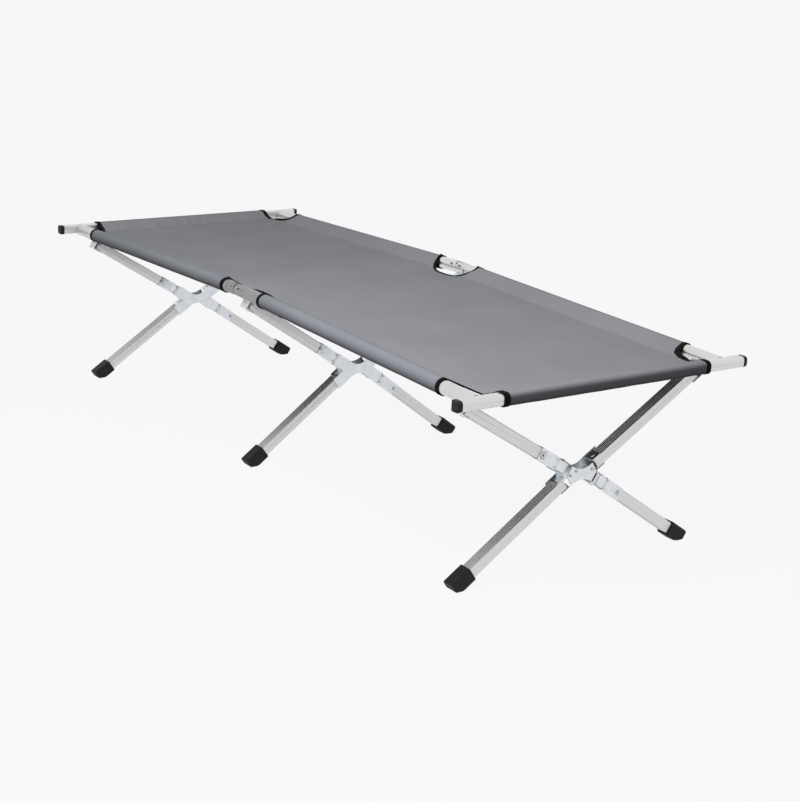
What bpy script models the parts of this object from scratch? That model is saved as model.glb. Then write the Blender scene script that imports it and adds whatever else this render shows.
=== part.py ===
"""Folding camping cot: fabric bed on two side rails, three folding X-leg sets, two loose end bars.

Metres, +Z up. X runs along the bed, Y across it, and the origin is on the floor under its middle.
Each leg tube turns on a pin that stands square to the tube, so a leg set folds flat along the rails:
the centre hinge slides along the bed while the rails and the feet draw in towards it.
"""
import math
from collections import namedtuple

import bmesh
import bpy
from mathutils import Matrix, Vector

# clearances
SEAT_GAP = 0.0003          # between pieces that rest on each other
RUN_GAP = 0.0004           # between pieces that turn on each other

# side rails
RAIL_RADIUS = 0.015
RAIL_WALL = 0.0013
RAIL_Y = 0.323             # rail axis from the middle of the bed
RAIL_Z = 0.436             # rail axis above the floor, at the seam
RAIL_SLOPE = 0.0237        # the two halves fall away from the seam, metres per metre
RAIL_SIDES = 24
SEAM_X = -0.010            # where the two halves of a rail meet

# folding link in each rail seam
LINK_SPACING = 0.032       # between its two rivets
LINK_RISE = 0.008          # rivets above the rail axis, so that the rails fold upwards
LINK_HEIGHT = 0.009
LINK_THICKNESS = 0.003
RIVET_RADIUS = 0.0022
RIVET_HEAD_RADIUS = 0.0032
RIVET_HEAD_HEIGHT = 0.0012
SEAM_RELIEF = 0.0022       # the tube tops are cut back this much, to pass each other

# end bars
BAR_X = 0.940              # bar axis from the middle of the bed
BAR_WIDTH = 0.024
BAR_HEIGHT = 0.0237
BAR_DROP = 0.0083          # the bar's top below the rail axis at the seam
BAR_TOP = RAIL_Z - BAR_DROP        # the rail ends butt against the bar's inner face
BAR_OVERHANG = 0.0485      # past the rail axis
BAR_HALF_LENGTH = RAIL_Y + BAR_OVERHANG
BAR_WALL = 0.0015
BAR_OUTER_ROUND = 0.008
BAR_INNER_ROUND = 0.003
CAP_THICKNESS = 0.010
CAP_SPIGOT = 0.012

# leg tubes
LEG_WIDTH = 0.025          # in the plane of the X
LEG_DEPTH = 0.026          # along the bed
LEG_WALL = 0.0016
LEG_CORNER = 0.0022
LEG_BORE_CORNER = 0.001
GROOVE_X = 0.0055          # groove centres from the middle of the ribbed faces
GROOVE_WIDTH = 0.002
GROOVE_DEPTH = 0.0007
PIN_RADIUS = 0.003
PIN_HEAD_RADIUS = 0.005
PIN_HEAD_HEIGHT = 0.0014

# leg sets
NEAR_SET_INSET = 0.073     # from the axis of the near end bar
FAR_SET_INSET = 0.080
MIDDLE_SET_X = 0.010
END_HUB_DROP = 0.2335      # middle of a hinge below the rail axis at the seam
MIDDLE_HUB_DROP = 0.2240
END_PIN_DROP = 0.0565      # top pins below the rail axis at the seam
MIDDLE_PIN_DROP = 0.0365
END_FOOT_Y = 0.317         # where the axis of a lower leg meets the floor
MIDDLE_FOOT_Y = 0.306
HUB_PIN_Y = 0.046
HUB_PIN_Z = 0.019          # above and below the middle of the hinge
TOP_PIN_INSET = 0.023      # from the rail axis
TOP_PIN_Y = RAIL_Y - TOP_PIN_INSET

# swing is the end of the bed that the legs fold to, seen from the hinge (1 is the near end)
LegSet = namedtuple("LegSet", "x swing hub_z top_z foot_y")
SETS = {
    "near": LegSet(BAR_X - NEAR_SET_INSET, 1, RAIL_Z - END_HUB_DROP, RAIL_Z - END_PIN_DROP, END_FOOT_Y),
    "middle": LegSet(MIDDLE_SET_X, -1, RAIL_Z - MIDDLE_HUB_DROP, RAIL_Z - MIDDLE_PIN_DROP, MIDDLE_FOOT_Y),
    "far": LegSet(FAR_SET_INSET - BAR_X, -1, RAIL_Z - END_HUB_DROP, RAIL_Z - END_PIN_DROP, END_FOOT_Y),
}
UPPER_RIGHT = (1, 1)       # side and level of a leg

# centre hinges and rail brackets, pressed steel
PLATE = 0.0018
EAR_REACH = 0.012          # ears along the tube, each way from the pin
ARM_REACH = 0.022          # stop arms of the hinge plate along the tube, from the pin
WAIST = 0.012              # half height of the hinge plates in the middle
EDGE_MARGIN = 0.0004       # the hinge plate stands past its ears by this much
CROTCH_INSET = 0.002       # where two arms meet, from the pins inwards
COVER_TIP = 0.006          # cover plate, from the pins inwards
COVER_SHOULDER = 0.019
COVER_RISE = 0.002         # cover plate, above and below the pins
BRACKET_LENGTH = 0.030
BRACKET_EAR = 0.010
BRACKET_CLEARANCE = 0.002  # between the end of the leg and the bracket's web
NECK_OUTER = 0.62          # neck between web and saddle, as shares of the web's half width
NECK_INNER = 0.25
SADDLE_ANGLE = 45.0        # each way round the rail, degrees

# ribbed end sleeves on the upper left and lower right legs
SLEEVE_START = 0.026       # from the hinge pin
SLEEVE_LENGTH = 0.056
SLEEVE_PLATE = 0.0012
SLEEVE_LIP = 0.016
RIB_WIDTH = 0.004
RIB_PITCH = 0.008
RIB_RISE = 0.001

# rubber feet
FOOT_WALL = 0.004
FOOT_GRIP = 0.030          # overlap of the foot on the tube
TUBE_FLOOR_GAP = 0.005     # lowest corner of the tube above the floor
FOOT_TIP = 0.022           # rubber beyond the end of the tube

# fabric bed
FABRIC = 0.0015
BED_SAG = 0.008
END_SLOPE = 0.12           # length over which the bed comes down to the end bars
SIDE_SLEEVE_INSET = 0.114  # end of the side sleeves, from the bar axis
SIDE_SLEEVE_END = BAR_X - SIDE_SLEEVE_INSET
CORNER_CUT_INSET = 0.078
CORNER_CUT_X = BAR_X - CORNER_CUT_INSET
CORNER_CUT_DEPTH = 0.051   # from the rail axis inwards
CORNER_CUT_Y = RAIL_Y - CORNER_CUT_DEPTH
MIDDLE_CUT_X = 0.021
MIDDLE_CUT_HALF = 0.084
MIDDLE_CUT_DEPTH = 0.061   # from the rail axis inwards
MIDDLE_CUT_Y = RAIL_Y - MIDDLE_CUT_DEPTH
BED_CELLS_X = 26
BED_CELLS_Y = 10

CUT_MARGIN = 0.05          # how far a cutter stands past what it cuts
SHARP_ANGLE = 35.0         # edges of round pieces that stay sharp, degrees


# Scene and mesh helpers

def clear_scene():
    for item in list(bpy.data.objects):
        bpy.data.objects.remove(item, do_unlink=True)


def material(name, colour, roughness, metallic):
    mat = bpy.data.materials.new(name)
    mat.use_nodes = True
    shader = mat.node_tree.nodes["Principled BSDF"]
    shader.inputs["Base Color"].default_value = (*colour, 1.0)
    shader.inputs["Roughness"].default_value = roughness
    shader.inputs["Metallic"].default_value = metallic
    return mat


def mesh_from(vertices, faces):
    bm = bmesh.new()
    points = [bm.verts.new(v) for v in vertices]
    for face in faces:
        bm.faces.new([points[i] for i in face])
    bmesh.ops.recalc_face_normals(bm, faces=bm.faces)
    mesh = bpy.data.meshes.new("shape")
    bm.to_mesh(mesh)
    bm.free()
    return mesh


def prism(outline, low, high, place):
    """Solid between two copies of a flat outline; place(a, b, h) gives a point at height h."""
    count = len(outline)
    vertices = [place(a, b, h) for h in (low, high) for a, b in outline]
    faces = [tuple(range(count)), tuple(range(count, 2 * count))]
    for i in range(count):
        j = (i + 1) % count
        faces.append((i, j, count + j, count + i))
    return mesh_from(vertices, faces)


def prism_x(outline_yz, low, high):
    return prism(outline_yz, low, high, lambda a, b, h: (h, a, b))


def prism_y(outline_xz, low, high):
    return prism(outline_xz, low, high, lambda a, b, h: (a, h, b))


def prism_z(outline_xy, low, high):
    return prism(outline_xy, low, high, lambda a, b, h: (a, b, h))


def tube(outer, inner, low, high, place):
    """Open tube between matching outer and inner outlines."""
    count = len(outer)
    vertices = [place(a, b, h) for ring in (outer, inner) for h in (low, high) for a, b in ring]
    faces = []
    for i in range(count):
        j = (i + 1) % count
        for first, second in ((0, 1), (2, 3), (0, 2), (1, 3)):
            a, b = first * count, second * count
            faces.append((a + i, a + j, b + j, b + i))
    return mesh_from(vertices, faces)


def circle(radius, sides, centre=(0.0, 0.0)):
    step = 2 * math.pi / sides
    return [(centre[0] + radius * math.cos((i + 0.5) * step),
             centre[1] + radius * math.sin((i + 0.5) * step)) for i in range(sides)]


def rectangle(a_low, a_high, b_low, b_high):
    return [(a_low, b_low), (a_high, b_low), (a_high, b_high), (a_low, b_high)]


def arc(centre, radius, start, end, steps):
    """Points on an arc, angles in degrees from the first axis."""
    points = []
    for i in range(steps + 1):
        angle = math.radians(start + (end - start) * i / steps)
        points.append((centre[0] + radius * math.cos(angle), centre[1] + radius * math.sin(angle)))
    return points


def temporary(mesh):
    item = bpy.data.objects.new("tool", mesh)
    bpy.context.collection.objects.link(item)
    return item


def combine(base, tools, operation):
    """Joins or cuts a mesh by others with exact Booleans; meshes share one frame."""
    item = temporary(base)
    helpers = [temporary(mesh) for mesh in tools]
    for helper in helpers:
        modifier = item.modifiers.new("boolean", "BOOLEAN")
        modifier.operation = operation
        modifier.solver = "EXACT"
        modifier.object = helper
    bpy.context.view_layer.update()
    evaluated = item.evaluated_get(bpy.context.evaluated_depsgraph_get())
    result = bpy.data.meshes.new_from_object(evaluated)
    for used in [item] + helpers:
        bpy.data.objects.remove(used, do_unlink=True)
    return result


def join(base, *others):
    return combine(base, others, "UNION")


def cut(base, *cutters):
    return combine(base, cutters, "DIFFERENCE")


def transformed(mesh, matrix):
    copy = mesh.copy()
    copy.transform(matrix)
    return copy


def add_part(name, mesh, mat, matrix=None, origin=None, round_part=False):
    """Adds a sub-part. matrix places a mesh in its own frame; origin only moves the object's origin."""
    if origin is not None:
        mesh.transform(Matrix.Translation(-Vector(origin)))
        matrix = Matrix.Translation(Vector(origin))
    item = bpy.data.objects.new(name, mesh)
    bpy.context.collection.objects.link(item)
    if matrix is not None:
        item.matrix_world = matrix
    mesh.materials.clear()
    mesh.materials.append(mat)
    if round_part:
        mesh.shade_smooth()
        mesh.set_sharp_from_angle(angle=math.radians(SHARP_ANGLE))
    return item


def pin_along(radius, half_length, place_centre=(0.0, 0.0), sides=12):
    """Round pin along Y at (x, z)."""
    return prism_y(circle(radius, sides, place_centre), -half_length, half_length)


def tube_frame(pin, target):
    """Frame on a leg pin: X along the bed, Z along the tube to target, Y square to the tube."""
    axis_z = (target - pin).normalized()
    axis_x = Vector((1.0, 0.0, 0.0))
    axis_y = axis_z.cross(axis_x)
    frame = Matrix((axis_x, axis_y, axis_z)).transposed().to_4x4()
    frame.translation = pin
    return frame


# Side rails and their folding links

def rail_height(x):
    return RAIL_Z - RAIL_SLOPE * abs(x - SEAM_X)


def along_rail(a, b, h):
    """Place function: a section drawn at the seam, carried along the falling rail to X = h."""
    return h, a, b - RAIL_Z + rail_height(h)


def rail_half(side, end):
    """Tube from the seam to the inner face of the end bar."""
    y = side * RAIL_Y
    outward = 1 if end == "near" else -1
    seam = SEAM_X + outward * SEAT_GAP / 2
    tip = outward * (BAR_X - BAR_WIDTH / 2 - SEAT_GAP)
    pivot = SEAM_X + outward * LINK_SPACING / 2
    low, high = sorted((seam, tip))
    body = tube(circle(RAIL_RADIUS, RAIL_SIDES, (y, RAIL_Z)),
                circle(RAIL_RADIUS - RAIL_WALL, RAIL_SIDES, (y, RAIL_Z)), low, high, along_rail)
    relief = prism_x(rectangle(y - CUT_MARGIN, y + CUT_MARGIN, RAIL_Z + LINK_RISE, RAIL_Z + CUT_MARGIN),
                     *sorted((seam - outward * CUT_MARGIN, SEAM_X + outward * SEAM_RELIEF)))
    slot_half = LINK_THICKNESS / 2 + RUN_GAP
    slot_end = pivot + outward * (LINK_HEIGHT / 2 + RUN_GAP)
    slot = prism_x(rectangle(y - slot_half, y + slot_half, RAIL_Z, RAIL_Z + CUT_MARGIN),
                   *sorted((seam - outward * CUT_MARGIN, slot_end)))
    hole = prism_y(circle(RIVET_RADIUS + SEAT_GAP, 12, (pivot, RAIL_Z + LINK_RISE)),
                   y - CUT_MARGIN, y + CUT_MARGIN)
    return cut(body, relief, slot, hole)


def rail_link(side):
    """Flat link inside the seam, with a rivet in each rail half."""
    y = side * RAIL_Y
    height = RAIL_Z + LINK_RISE
    half = LINK_SPACING / 2
    radius = LINK_HEIGHT / 2
    outline = arc((SEAM_X + half, height), radius, -90, 90, 6) + arc((SEAM_X - half, height), radius, 90, 270, 6)
    link = prism_y(outline, y - LINK_THICKNESS / 2, y + LINK_THICKNESS / 2)
    low_edge = LINK_RISE - RIVET_HEAD_RADIUS
    seat = math.sqrt(RAIL_RADIUS ** 2 - low_edge ** 2) + SEAT_GAP
    pieces = []
    for direction in (-1, 1):
        centre = (SEAM_X + direction * half, height)
        pieces.append(prism_y(circle(RIVET_RADIUS, 12, centre), y - seat - RIVET_HEAD_HEIGHT / 2,
                              y + seat + RIVET_HEAD_HEIGHT / 2))
        for face in (-1, 1):
            span = sorted((y + face * seat, y + face * (seat + RIVET_HEAD_HEIGHT)))
            pieces.append(prism_y(circle(RIVET_HEAD_RADIUS, 12, centre), *span))
    return join(link, *pieces)


# End bars

def bar_outline(outward, offset):
    """Section of the end bar in XZ, rounder on its outer side, grown by offset."""
    half_width = BAR_WIDTH / 2
    bottom = BAR_TOP - BAR_HEIGHT
    middle = outward * BAR_X
    outer, inner = BAR_OUTER_ROUND, BAR_INNER_ROUND
    corners = [(half_width - outer, BAR_TOP - outer, outer, 90, 0, 4),
               (half_width - outer, bottom + outer, outer, 0, -90, 4),
               (-half_width + inner, bottom + inner, inner, 270, 180, 2),
               (-half_width + inner, BAR_TOP - inner, inner, 180, 90, 2)]
    points = []
    for a, b, radius, start, end, steps in corners:
        for x, z in arc((a, b), radius + offset, start, end, steps):
            points.append((middle + outward * x, z))
    return points


def end_bar(outward):
    return tube(bar_outline(outward, 0.0), bar_outline(outward, -BAR_WALL), -BAR_HALF_LENGTH, BAR_HALF_LENGTH,
                lambda a, b, h: (a, h, b))


def bar_cap(outward, side):
    """Push-in cap, flush with the bar, so that it passes through the fabric sleeve with it."""
    inner_face = side * (BAR_HALF_LENGTH + SEAT_GAP)
    outer_face = side * (BAR_HALF_LENGTH + SEAT_GAP + CAP_THICKNESS)
    head = prism_y(bar_outline(outward, 0.0), *sorted((inner_face, outer_face)))
    spigot = prism_y(bar_outline(outward, -BAR_WALL - SEAT_GAP),
                     *sorted((side * (BAR_HALF_LENGTH - CAP_SPIGOT), side * (BAR_HALF_LENGTH + CAP_THICKNESS / 2))))
    return join(head, spigot)


# Leg tubes, in a frame whose Y axis is the pin and whose Z axis is the tube

def leg_outline():
    """Ribbed rectangular section: outer points and matching inner points, as (x, y)."""
    half_depth, half_width = LEG_DEPTH / 2, LEG_WIDTH / 2
    slope = GROOVE_DEPTH / 2
    face = [(-half_depth + LEG_CORNER, half_width)]
    for centre in (-GROOVE_X, GROOVE_X):
        left, right = centre - GROOVE_WIDTH / 2, centre + GROOVE_WIDTH / 2
        face += [(left, half_width), (left + slope, half_width - GROOVE_DEPTH),
                 (right - slope, half_width - GROOVE_DEPTH), (right, half_width)]
    face.append((half_depth - LEG_CORNER, half_width))
    side = [(half_depth, half_width - LEG_CORNER), (half_depth, -half_width + LEG_CORNER)]
    outer = face + side
    outer += [(-x, -y) for x, y in outer]
    core_x, core_y = half_depth - LEG_WALL, half_width - LEG_WALL
    inner = []
    for x, y in outer:
        if abs(x) == half_depth:
            inner.append((math.copysign(core_x, x), math.copysign(core_y - LEG_BORE_CORNER, y)))
        else:
            inner.append((math.copysign(min(abs(x), core_x - LEG_BORE_CORNER), x), math.copysign(core_y, y)))
    return outer, inner


def leg_tube(length, round_far_end):
    """Open tube with its pin at the origin. A pinned end is rounded, so that it turns inside its ears."""
    radius = LEG_DEPTH / 2
    outer, inner = leg_outline()
    count = len(outer)

    def end_height(x, high):
        swell = math.sqrt(max(radius ** 2 - x ** 2, 0.0))
        if not high:
            return -swell
        return length + swell if round_far_end else length

    vertices = []
    for ring in (outer, inner):
        for high in (False, True):
            vertices += [(x, y, end_height(x, high)) for x, y in ring]
    faces = []
    for i in range(count):
        j = (i + 1) % count
        for first, second in ((0, 1), (2, 3), (0, 2), (1, 3)):
            a, b = first * count, second * count
            faces.append((a + i, a + j, b + j, b + i))
    body = mesh_from(vertices, faces)
    holes = [pin_along(PIN_RADIUS + SEAT_GAP, LEG_WIDTH)]
    if round_far_end:
        holes.append(pin_along(PIN_RADIUS + SEAT_GAP, LEG_WIDTH, (0.0, length)))
    return cut(body, *holes)


def pin_with_heads(centre=(0.0, 0.0)):
    """Rivet through a pair of ears, with a head outside each of them."""
    ear_face = LEG_WIDTH / 2 + RUN_GAP + PLATE
    shank = pin_along(PIN_RADIUS, ear_face + PIN_HEAD_HEIGHT / 2, centre)
    heads = [prism_y(circle(PIN_HEAD_RADIUS, 12, centre),
                     *sorted((s * (ear_face - PLATE / 2), s * (ear_face + PIN_HEAD_HEIGHT)))) for s in (-1, 1)]
    return [shank] + heads


def end_sleeve():
    """Ribbed steel channel round the end of a leg, with its ribs towards the near end of the bed."""
    inner_x = LEG_DEPTH / 2 + SEAT_GAP
    inner_y = LEG_WIDTH / 2 + SEAT_GAP
    outer_x, outer_y = inner_x + SLEEVE_PLATE, inner_y + SLEEVE_PLATE
    lip = inner_x - SLEEVE_LIP
    section = [(lip, inner_y), (lip, outer_y), (outer_x, outer_y)]
    for centre in (RIB_PITCH, 0.0, -RIB_PITCH):
        section += [(outer_x, centre + RIB_WIDTH / 2), (outer_x + RIB_RISE, centre + RIB_WIDTH / 4),
                    (outer_x + RIB_RISE, centre - RIB_WIDTH / 4), (outer_x, centre - RIB_WIDTH / 2)]
    section += [(outer_x, -outer_y), (lip, -outer_y), (lip, -inner_y), (inner_x, -inner_y), (inner_x, inner_y)]
    return prism_z(section, SLEEVE_START, SLEEVE_START + SLEEVE_LENGTH)


# Rail brackets and centre hinges

def rail_bracket(frame, side):
    """Clevis for the top of a leg, on a saddle round the lower side of the rail. Built in the leg's frame."""
    x = frame.translation.x
    to_leg = frame.inverted()
    local = to_leg @ Vector((x, side * RAIL_Y, rail_height(x)))
    fall = to_leg.to_3x3() @ Vector((0.0, 0.0, -math.copysign(RAIL_SLOPE, x - SEAM_X)))

    def under_rail(a, b, h):
        return h, a + fall.y * h, b + fall.z * h

    lean = 1 if local.y > 0 else -1
    inner = LEG_WIDTH / 2 + RUN_GAP
    outer = inner + PLATE
    web = -(LEG_DEPTH / 2 + BRACKET_CLEARANCE)
    channel = prism_x([(inner, BRACKET_EAR), (outer, BRACKET_EAR), (outer, web - PLATE), (-outer, web - PLATE),
                       (-outer, BRACKET_EAR), (-inner, BRACKET_EAR), (-inner, web), (inner, web)],
                      -BRACKET_LENGTH / 2, BRACKET_LENGTH / 2)
    saddle_inner = RAIL_RADIUS + SEAT_GAP
    saddle_outer = saddle_inner + PLATE
    centre = (local.y, local.z)
    strap_outline = arc(centre, saddle_inner, 90 - SADDLE_ANGLE, 90 + SADDLE_ANGLE, 8)
    strap_outline += arc(centre, saddle_outer, 90 + SADDLE_ANGLE, 90 - SADDLE_ANGLE, 8)
    strap = prism(strap_outline, -BRACKET_LENGTH / 2, BRACKET_LENGTH / 2, under_rail)
    middle = saddle_inner + PLATE / 2

    def on_strap(y):
        return centre[1] + math.sqrt(middle ** 2 - (y - centre[0]) ** 2)

    neck_y = [lean * outer, lean * outer * NECK_OUTER, lean * outer * NECK_INNER]
    neck_outline = [(y, on_strap(y)) for y in neck_y]
    neck_outline += [(neck_y[-1], web - PLATE / 2), (neck_y[0], web - PLATE / 2)]
    neck = prism(neck_outline, -BRACKET_LENGTH / 2, BRACKET_LENGTH / 2, under_rail)
    return join(channel, strap, neck, *pin_with_heads())


def hub_quarters():
    """The four arms of a centre hinge: signs of Y and Z of each pin."""
    return [(-1, 1), (1, 1), (1, -1), (-1, -1)]


def hub_pin(legs, side, level):
    return Vector((legs.x, side * HUB_PIN_Y, legs.hub_z + level * HUB_PIN_Z))


def leg_target(legs, side, level):
    if level > 0:
        return Vector((legs.x, side * TOP_PIN_Y, legs.top_z))
    return Vector((legs.x, side * legs.foot_y, 0.0))


def leg_frame(legs, side, level):
    return tube_frame(hub_pin(legs, side, level), leg_target(legs, side, level))


def arm_point(legs, side, level, upper, reach):
    """Corner of a hinge plate arm in YZ: on its upper or lower edge, reach along the leg from its pin."""
    half = LEG_WIDTH / 2 + RUN_GAP + PLATE + EDGE_MARGIN
    point = leg_frame(legs, side, level) @ Vector((0.0, half * (-side if upper else side), reach))
    return point.y, point.z


def waist_curve(legs, corner, level, steps=8):
    """Concave edge between two mirrored arm corners, through the waist."""
    reach, rise = abs(corner[0]), abs(corner[1] - legs.hub_z)
    shares = [level * (-1 + 2 * i / steps) for i in range(steps + 1)]
    return [(reach * s, legs.hub_z + level * (WAIST + (rise - WAIST) * s * s)) for s in shares]


def plate_outline(legs):
    """Bow-tie outline of the hinge plate, clockwise from the upper left arm."""
    crotch = HUB_PIN_Y - CROTCH_INSET
    outline = [arm_point(legs, -1, 1, False, ARM_REACH), arm_point(legs, -1, 1, True, ARM_REACH)]
    outline += waist_curve(legs, arm_point(legs, -1, 1, True, -EAR_REACH), 1)
    outline += [arm_point(legs, 1, 1, True, ARM_REACH), arm_point(legs, 1, 1, False, ARM_REACH)]
    outline += [(crotch, legs.hub_z)]
    outline += [arm_point(legs, 1, -1, True, ARM_REACH), arm_point(legs, 1, -1, False, ARM_REACH)]
    outline += waist_curve(legs, arm_point(legs, 1, -1, False, -EAR_REACH), -1)
    outline += [arm_point(legs, -1, -1, False, ARM_REACH), arm_point(legs, -1, -1, True, ARM_REACH)]
    return outline + [(-crotch, legs.hub_z)]


def cover_outline(legs):
    """Cover plate outline: concave above and below, between the inner ends of the legs."""
    tip = HUB_PIN_Y - COVER_TIP
    shoulder = (HUB_PIN_Y - COVER_SHOULDER, legs.hub_z + HUB_PIN_Z + COVER_RISE)
    upper, lower = waist_curve(legs, shoulder, 1), waist_curve(legs, shoulder, -1)
    return [(-tip, legs.hub_z)] + upper + [(tip, legs.hub_z)] + lower


def hub_plate(legs):
    """Hinge plate with its stop arms, the eight ears bent up from it and the four leg pins."""
    x = legs.x
    closed = -legs.swing
    plate_span = sorted((x + closed * (LEG_DEPTH / 2 + RUN_GAP), x + closed * (LEG_DEPTH / 2 + RUN_GAP + PLATE)))
    ear_span = sorted((closed * (LEG_DEPTH / 2 + RUN_GAP + PLATE / 2), -closed * (LEG_DEPTH / 2 + RUN_GAP)))
    base = prism_x(plate_outline(legs), *plate_span)
    pieces = []
    inner = LEG_WIDTH / 2 + RUN_GAP
    for side, level in hub_quarters():
        frame = leg_frame(legs, side, level)
        for s in (-1, 1):
            span = sorted((s * inner, s * (inner + PLATE)))
            ear = prism_x(rectangle(*span, -EAR_REACH, EAR_REACH), *ear_span)
            pieces.append(transformed(ear, frame))
        pieces += [transformed(mesh, frame) for mesh in pin_with_heads()]
    return join(base, *pieces)


def hub_cover(legs):
    """Cover plate on the open side of the hinge, between the inner ends of the legs."""
    x = legs.x
    opened = legs.swing
    near_face = x + opened * (LEG_DEPTH / 2 + RUN_GAP + SEAT_GAP)
    far_face = near_face + opened * PLATE
    cover = prism_x(cover_outline(legs), *sorted((near_face, far_face)))
    stud_span = sorted((x - opened * (LEG_DEPTH / 2 + RUN_GAP - SEAT_GAP), far_face + opened * PIN_HEAD_HEIGHT))
    stud = prism_x(circle(PIN_RADIUS, 12, (0.0, legs.hub_z)), *stud_span)
    head = prism_x(circle(PIN_HEAD_RADIUS, 12, (0.0, legs.hub_z)),
                   *sorted((far_face - opened * PLATE / 2, far_face + opened * PIN_HEAD_HEIGHT)))
    return join(cover, stud, head)


# Feet

def lower_leg_end(legs):
    """Length of a lower leg from its pin, so that its lowest corner clears the floor."""
    pin, target = hub_pin(legs, 1, -1), leg_target(legs, 1, -1)
    axis = (target - pin).normalized()
    drop, run = abs(axis.z), abs(axis.y)
    return (target - pin).length - (LEG_WIDTH / 2 * run + TUBE_FLOOR_GAP) / drop


def rubber_foot(legs, side):
    """Boot round the end of a lower leg, cut flat where it stands on the floor."""
    frame = leg_frame(legs, side, -1)
    end = lower_leg_end(legs)
    half_x = LEG_DEPTH / 2 + SEAT_GAP + FOOT_WALL
    half_y = LEG_WIDTH / 2 + SEAT_GAP + FOOT_WALL
    bevel = FOOT_WALL
    section = []
    for sx, sy in ((1, 1), (-1, 1), (-1, -1), (1, -1)):
        first = (sx * (half_x - bevel), sy * half_y)
        second = (sx * half_x, sy * (half_y - bevel))
        section += [second, first] if sx * sy > 0 else [first, second]
    boot = prism_z(section, end - FOOT_GRIP, end + FOOT_TIP)
    pocket = prism_z(rectangle(-LEG_DEPTH / 2 - SEAT_GAP, LEG_DEPTH / 2 + SEAT_GAP,
                               -LEG_WIDTH / 2 - SEAT_GAP, LEG_WIDTH / 2 + SEAT_GAP),
                     end - FOOT_GRIP - CUT_MARGIN, end + SEAT_GAP)
    floor = prism_z(rectangle(legs.x - CUT_MARGIN, legs.x + CUT_MARGIN, side * legs.foot_y - 2 * CUT_MARGIN,
                              side * legs.foot_y + 2 * CUT_MARGIN), -2 * CUT_MARGIN, 0.0)
    return cut(transformed(boot, frame), transformed(pocket, frame), floor)


# Fabric bed

def bed_height(x, y):
    """Upper face of the sheet: level with the rail tops, slack in the middle, down to the bars at the ends."""
    rail_top = rail_height(x) + RAIL_RADIUS + SEAT_GAP + FABRIC
    on_rails = rail_top - BED_SAG * (1 - (y / RAIL_Y) ** 2)
    on_bar = BAR_TOP + SEAT_GAP + FABRIC
    share = min(max((abs(x) - (BAR_X - END_SLOPE)) / END_SLOPE, 0.0), 1.0)
    share = share * share * (3 - 2 * share)
    return on_rails * (1 - share) + on_bar * share


def bed_sheet():
    columns, rows = BED_CELLS_X + 1, BED_CELLS_Y + 1
    xs = [-BAR_X + 2 * BAR_X * i / BED_CELLS_X for i in range(columns)]
    ys = [-RAIL_Y + 2 * RAIL_Y * j / BED_CELLS_Y for j in range(rows)]
    vertices = []
    for drop in (0.0, FABRIC):
        vertices += [(x, y, bed_height(x, y) - drop) for x in xs for y in ys]
    layer = columns * rows

    def at(i, j, low=False):
        return i * rows + j + (layer if low else 0)

    faces = []
    for i in range(BED_CELLS_X):
        for j in range(BED_CELLS_Y):
            quad = [(i, j), (i + 1, j), (i + 1, j + 1), (i, j + 1)]
            faces.append(tuple(at(a, b) for a, b in quad))
            faces.append(tuple(at(a, b, True) for a, b in quad))
    edge = [(i, 0) for i in range(BED_CELLS_X)] + [(BED_CELLS_X, j) for j in range(BED_CELLS_Y)]
    edge += [(i, BED_CELLS_Y) for i in range(BED_CELLS_X, 0, -1)] + [(0, j) for j in range(BED_CELLS_Y, 0, -1)]
    for k, (i, j) in enumerate(edge):
        m, n = edge[(k + 1) % len(edge)]
        faces.append((at(i, j), at(m, n), at(m, n, True), at(i, j, True)))
    return mesh_from(vertices, faces)


def corner_notch(outward, side):
    far_x, far_y = BAR_X + CUT_MARGIN, RAIL_Y + CUT_MARGIN
    outline = [(SIDE_SLEEVE_END, far_y), (SIDE_SLEEVE_END, RAIL_Y), (CORNER_CUT_X, CORNER_CUT_Y),
               (far_x, CORNER_CUT_Y), (far_x, far_y)]
    return prism_z([(outward * x, side * y) for x, y in outline], RAIL_Z - CUT_MARGIN, RAIL_Z + CUT_MARGIN)


def middle_notch(side):
    """Half-oval cut-out over the rail seam."""
    depth = RAIL_Y - MIDDLE_CUT_Y
    steps = 14
    outline = []
    for i in range(steps + 1):
        angle = math.pi * i / steps
        outline.append((MIDDLE_CUT_X + MIDDLE_CUT_HALF * math.cos(angle), RAIL_Y - depth * math.sin(angle)))
    far_y = RAIL_Y + CUT_MARGIN
    outline += [(MIDDLE_CUT_X - MIDDLE_CUT_HALF, far_y), (MIDDLE_CUT_X + MIDDLE_CUT_HALF, far_y)]
    return prism_z([(x, side * y) for x, y in outline], RAIL_Z - CUT_MARGIN, RAIL_Z + CUT_MARGIN)


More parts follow.
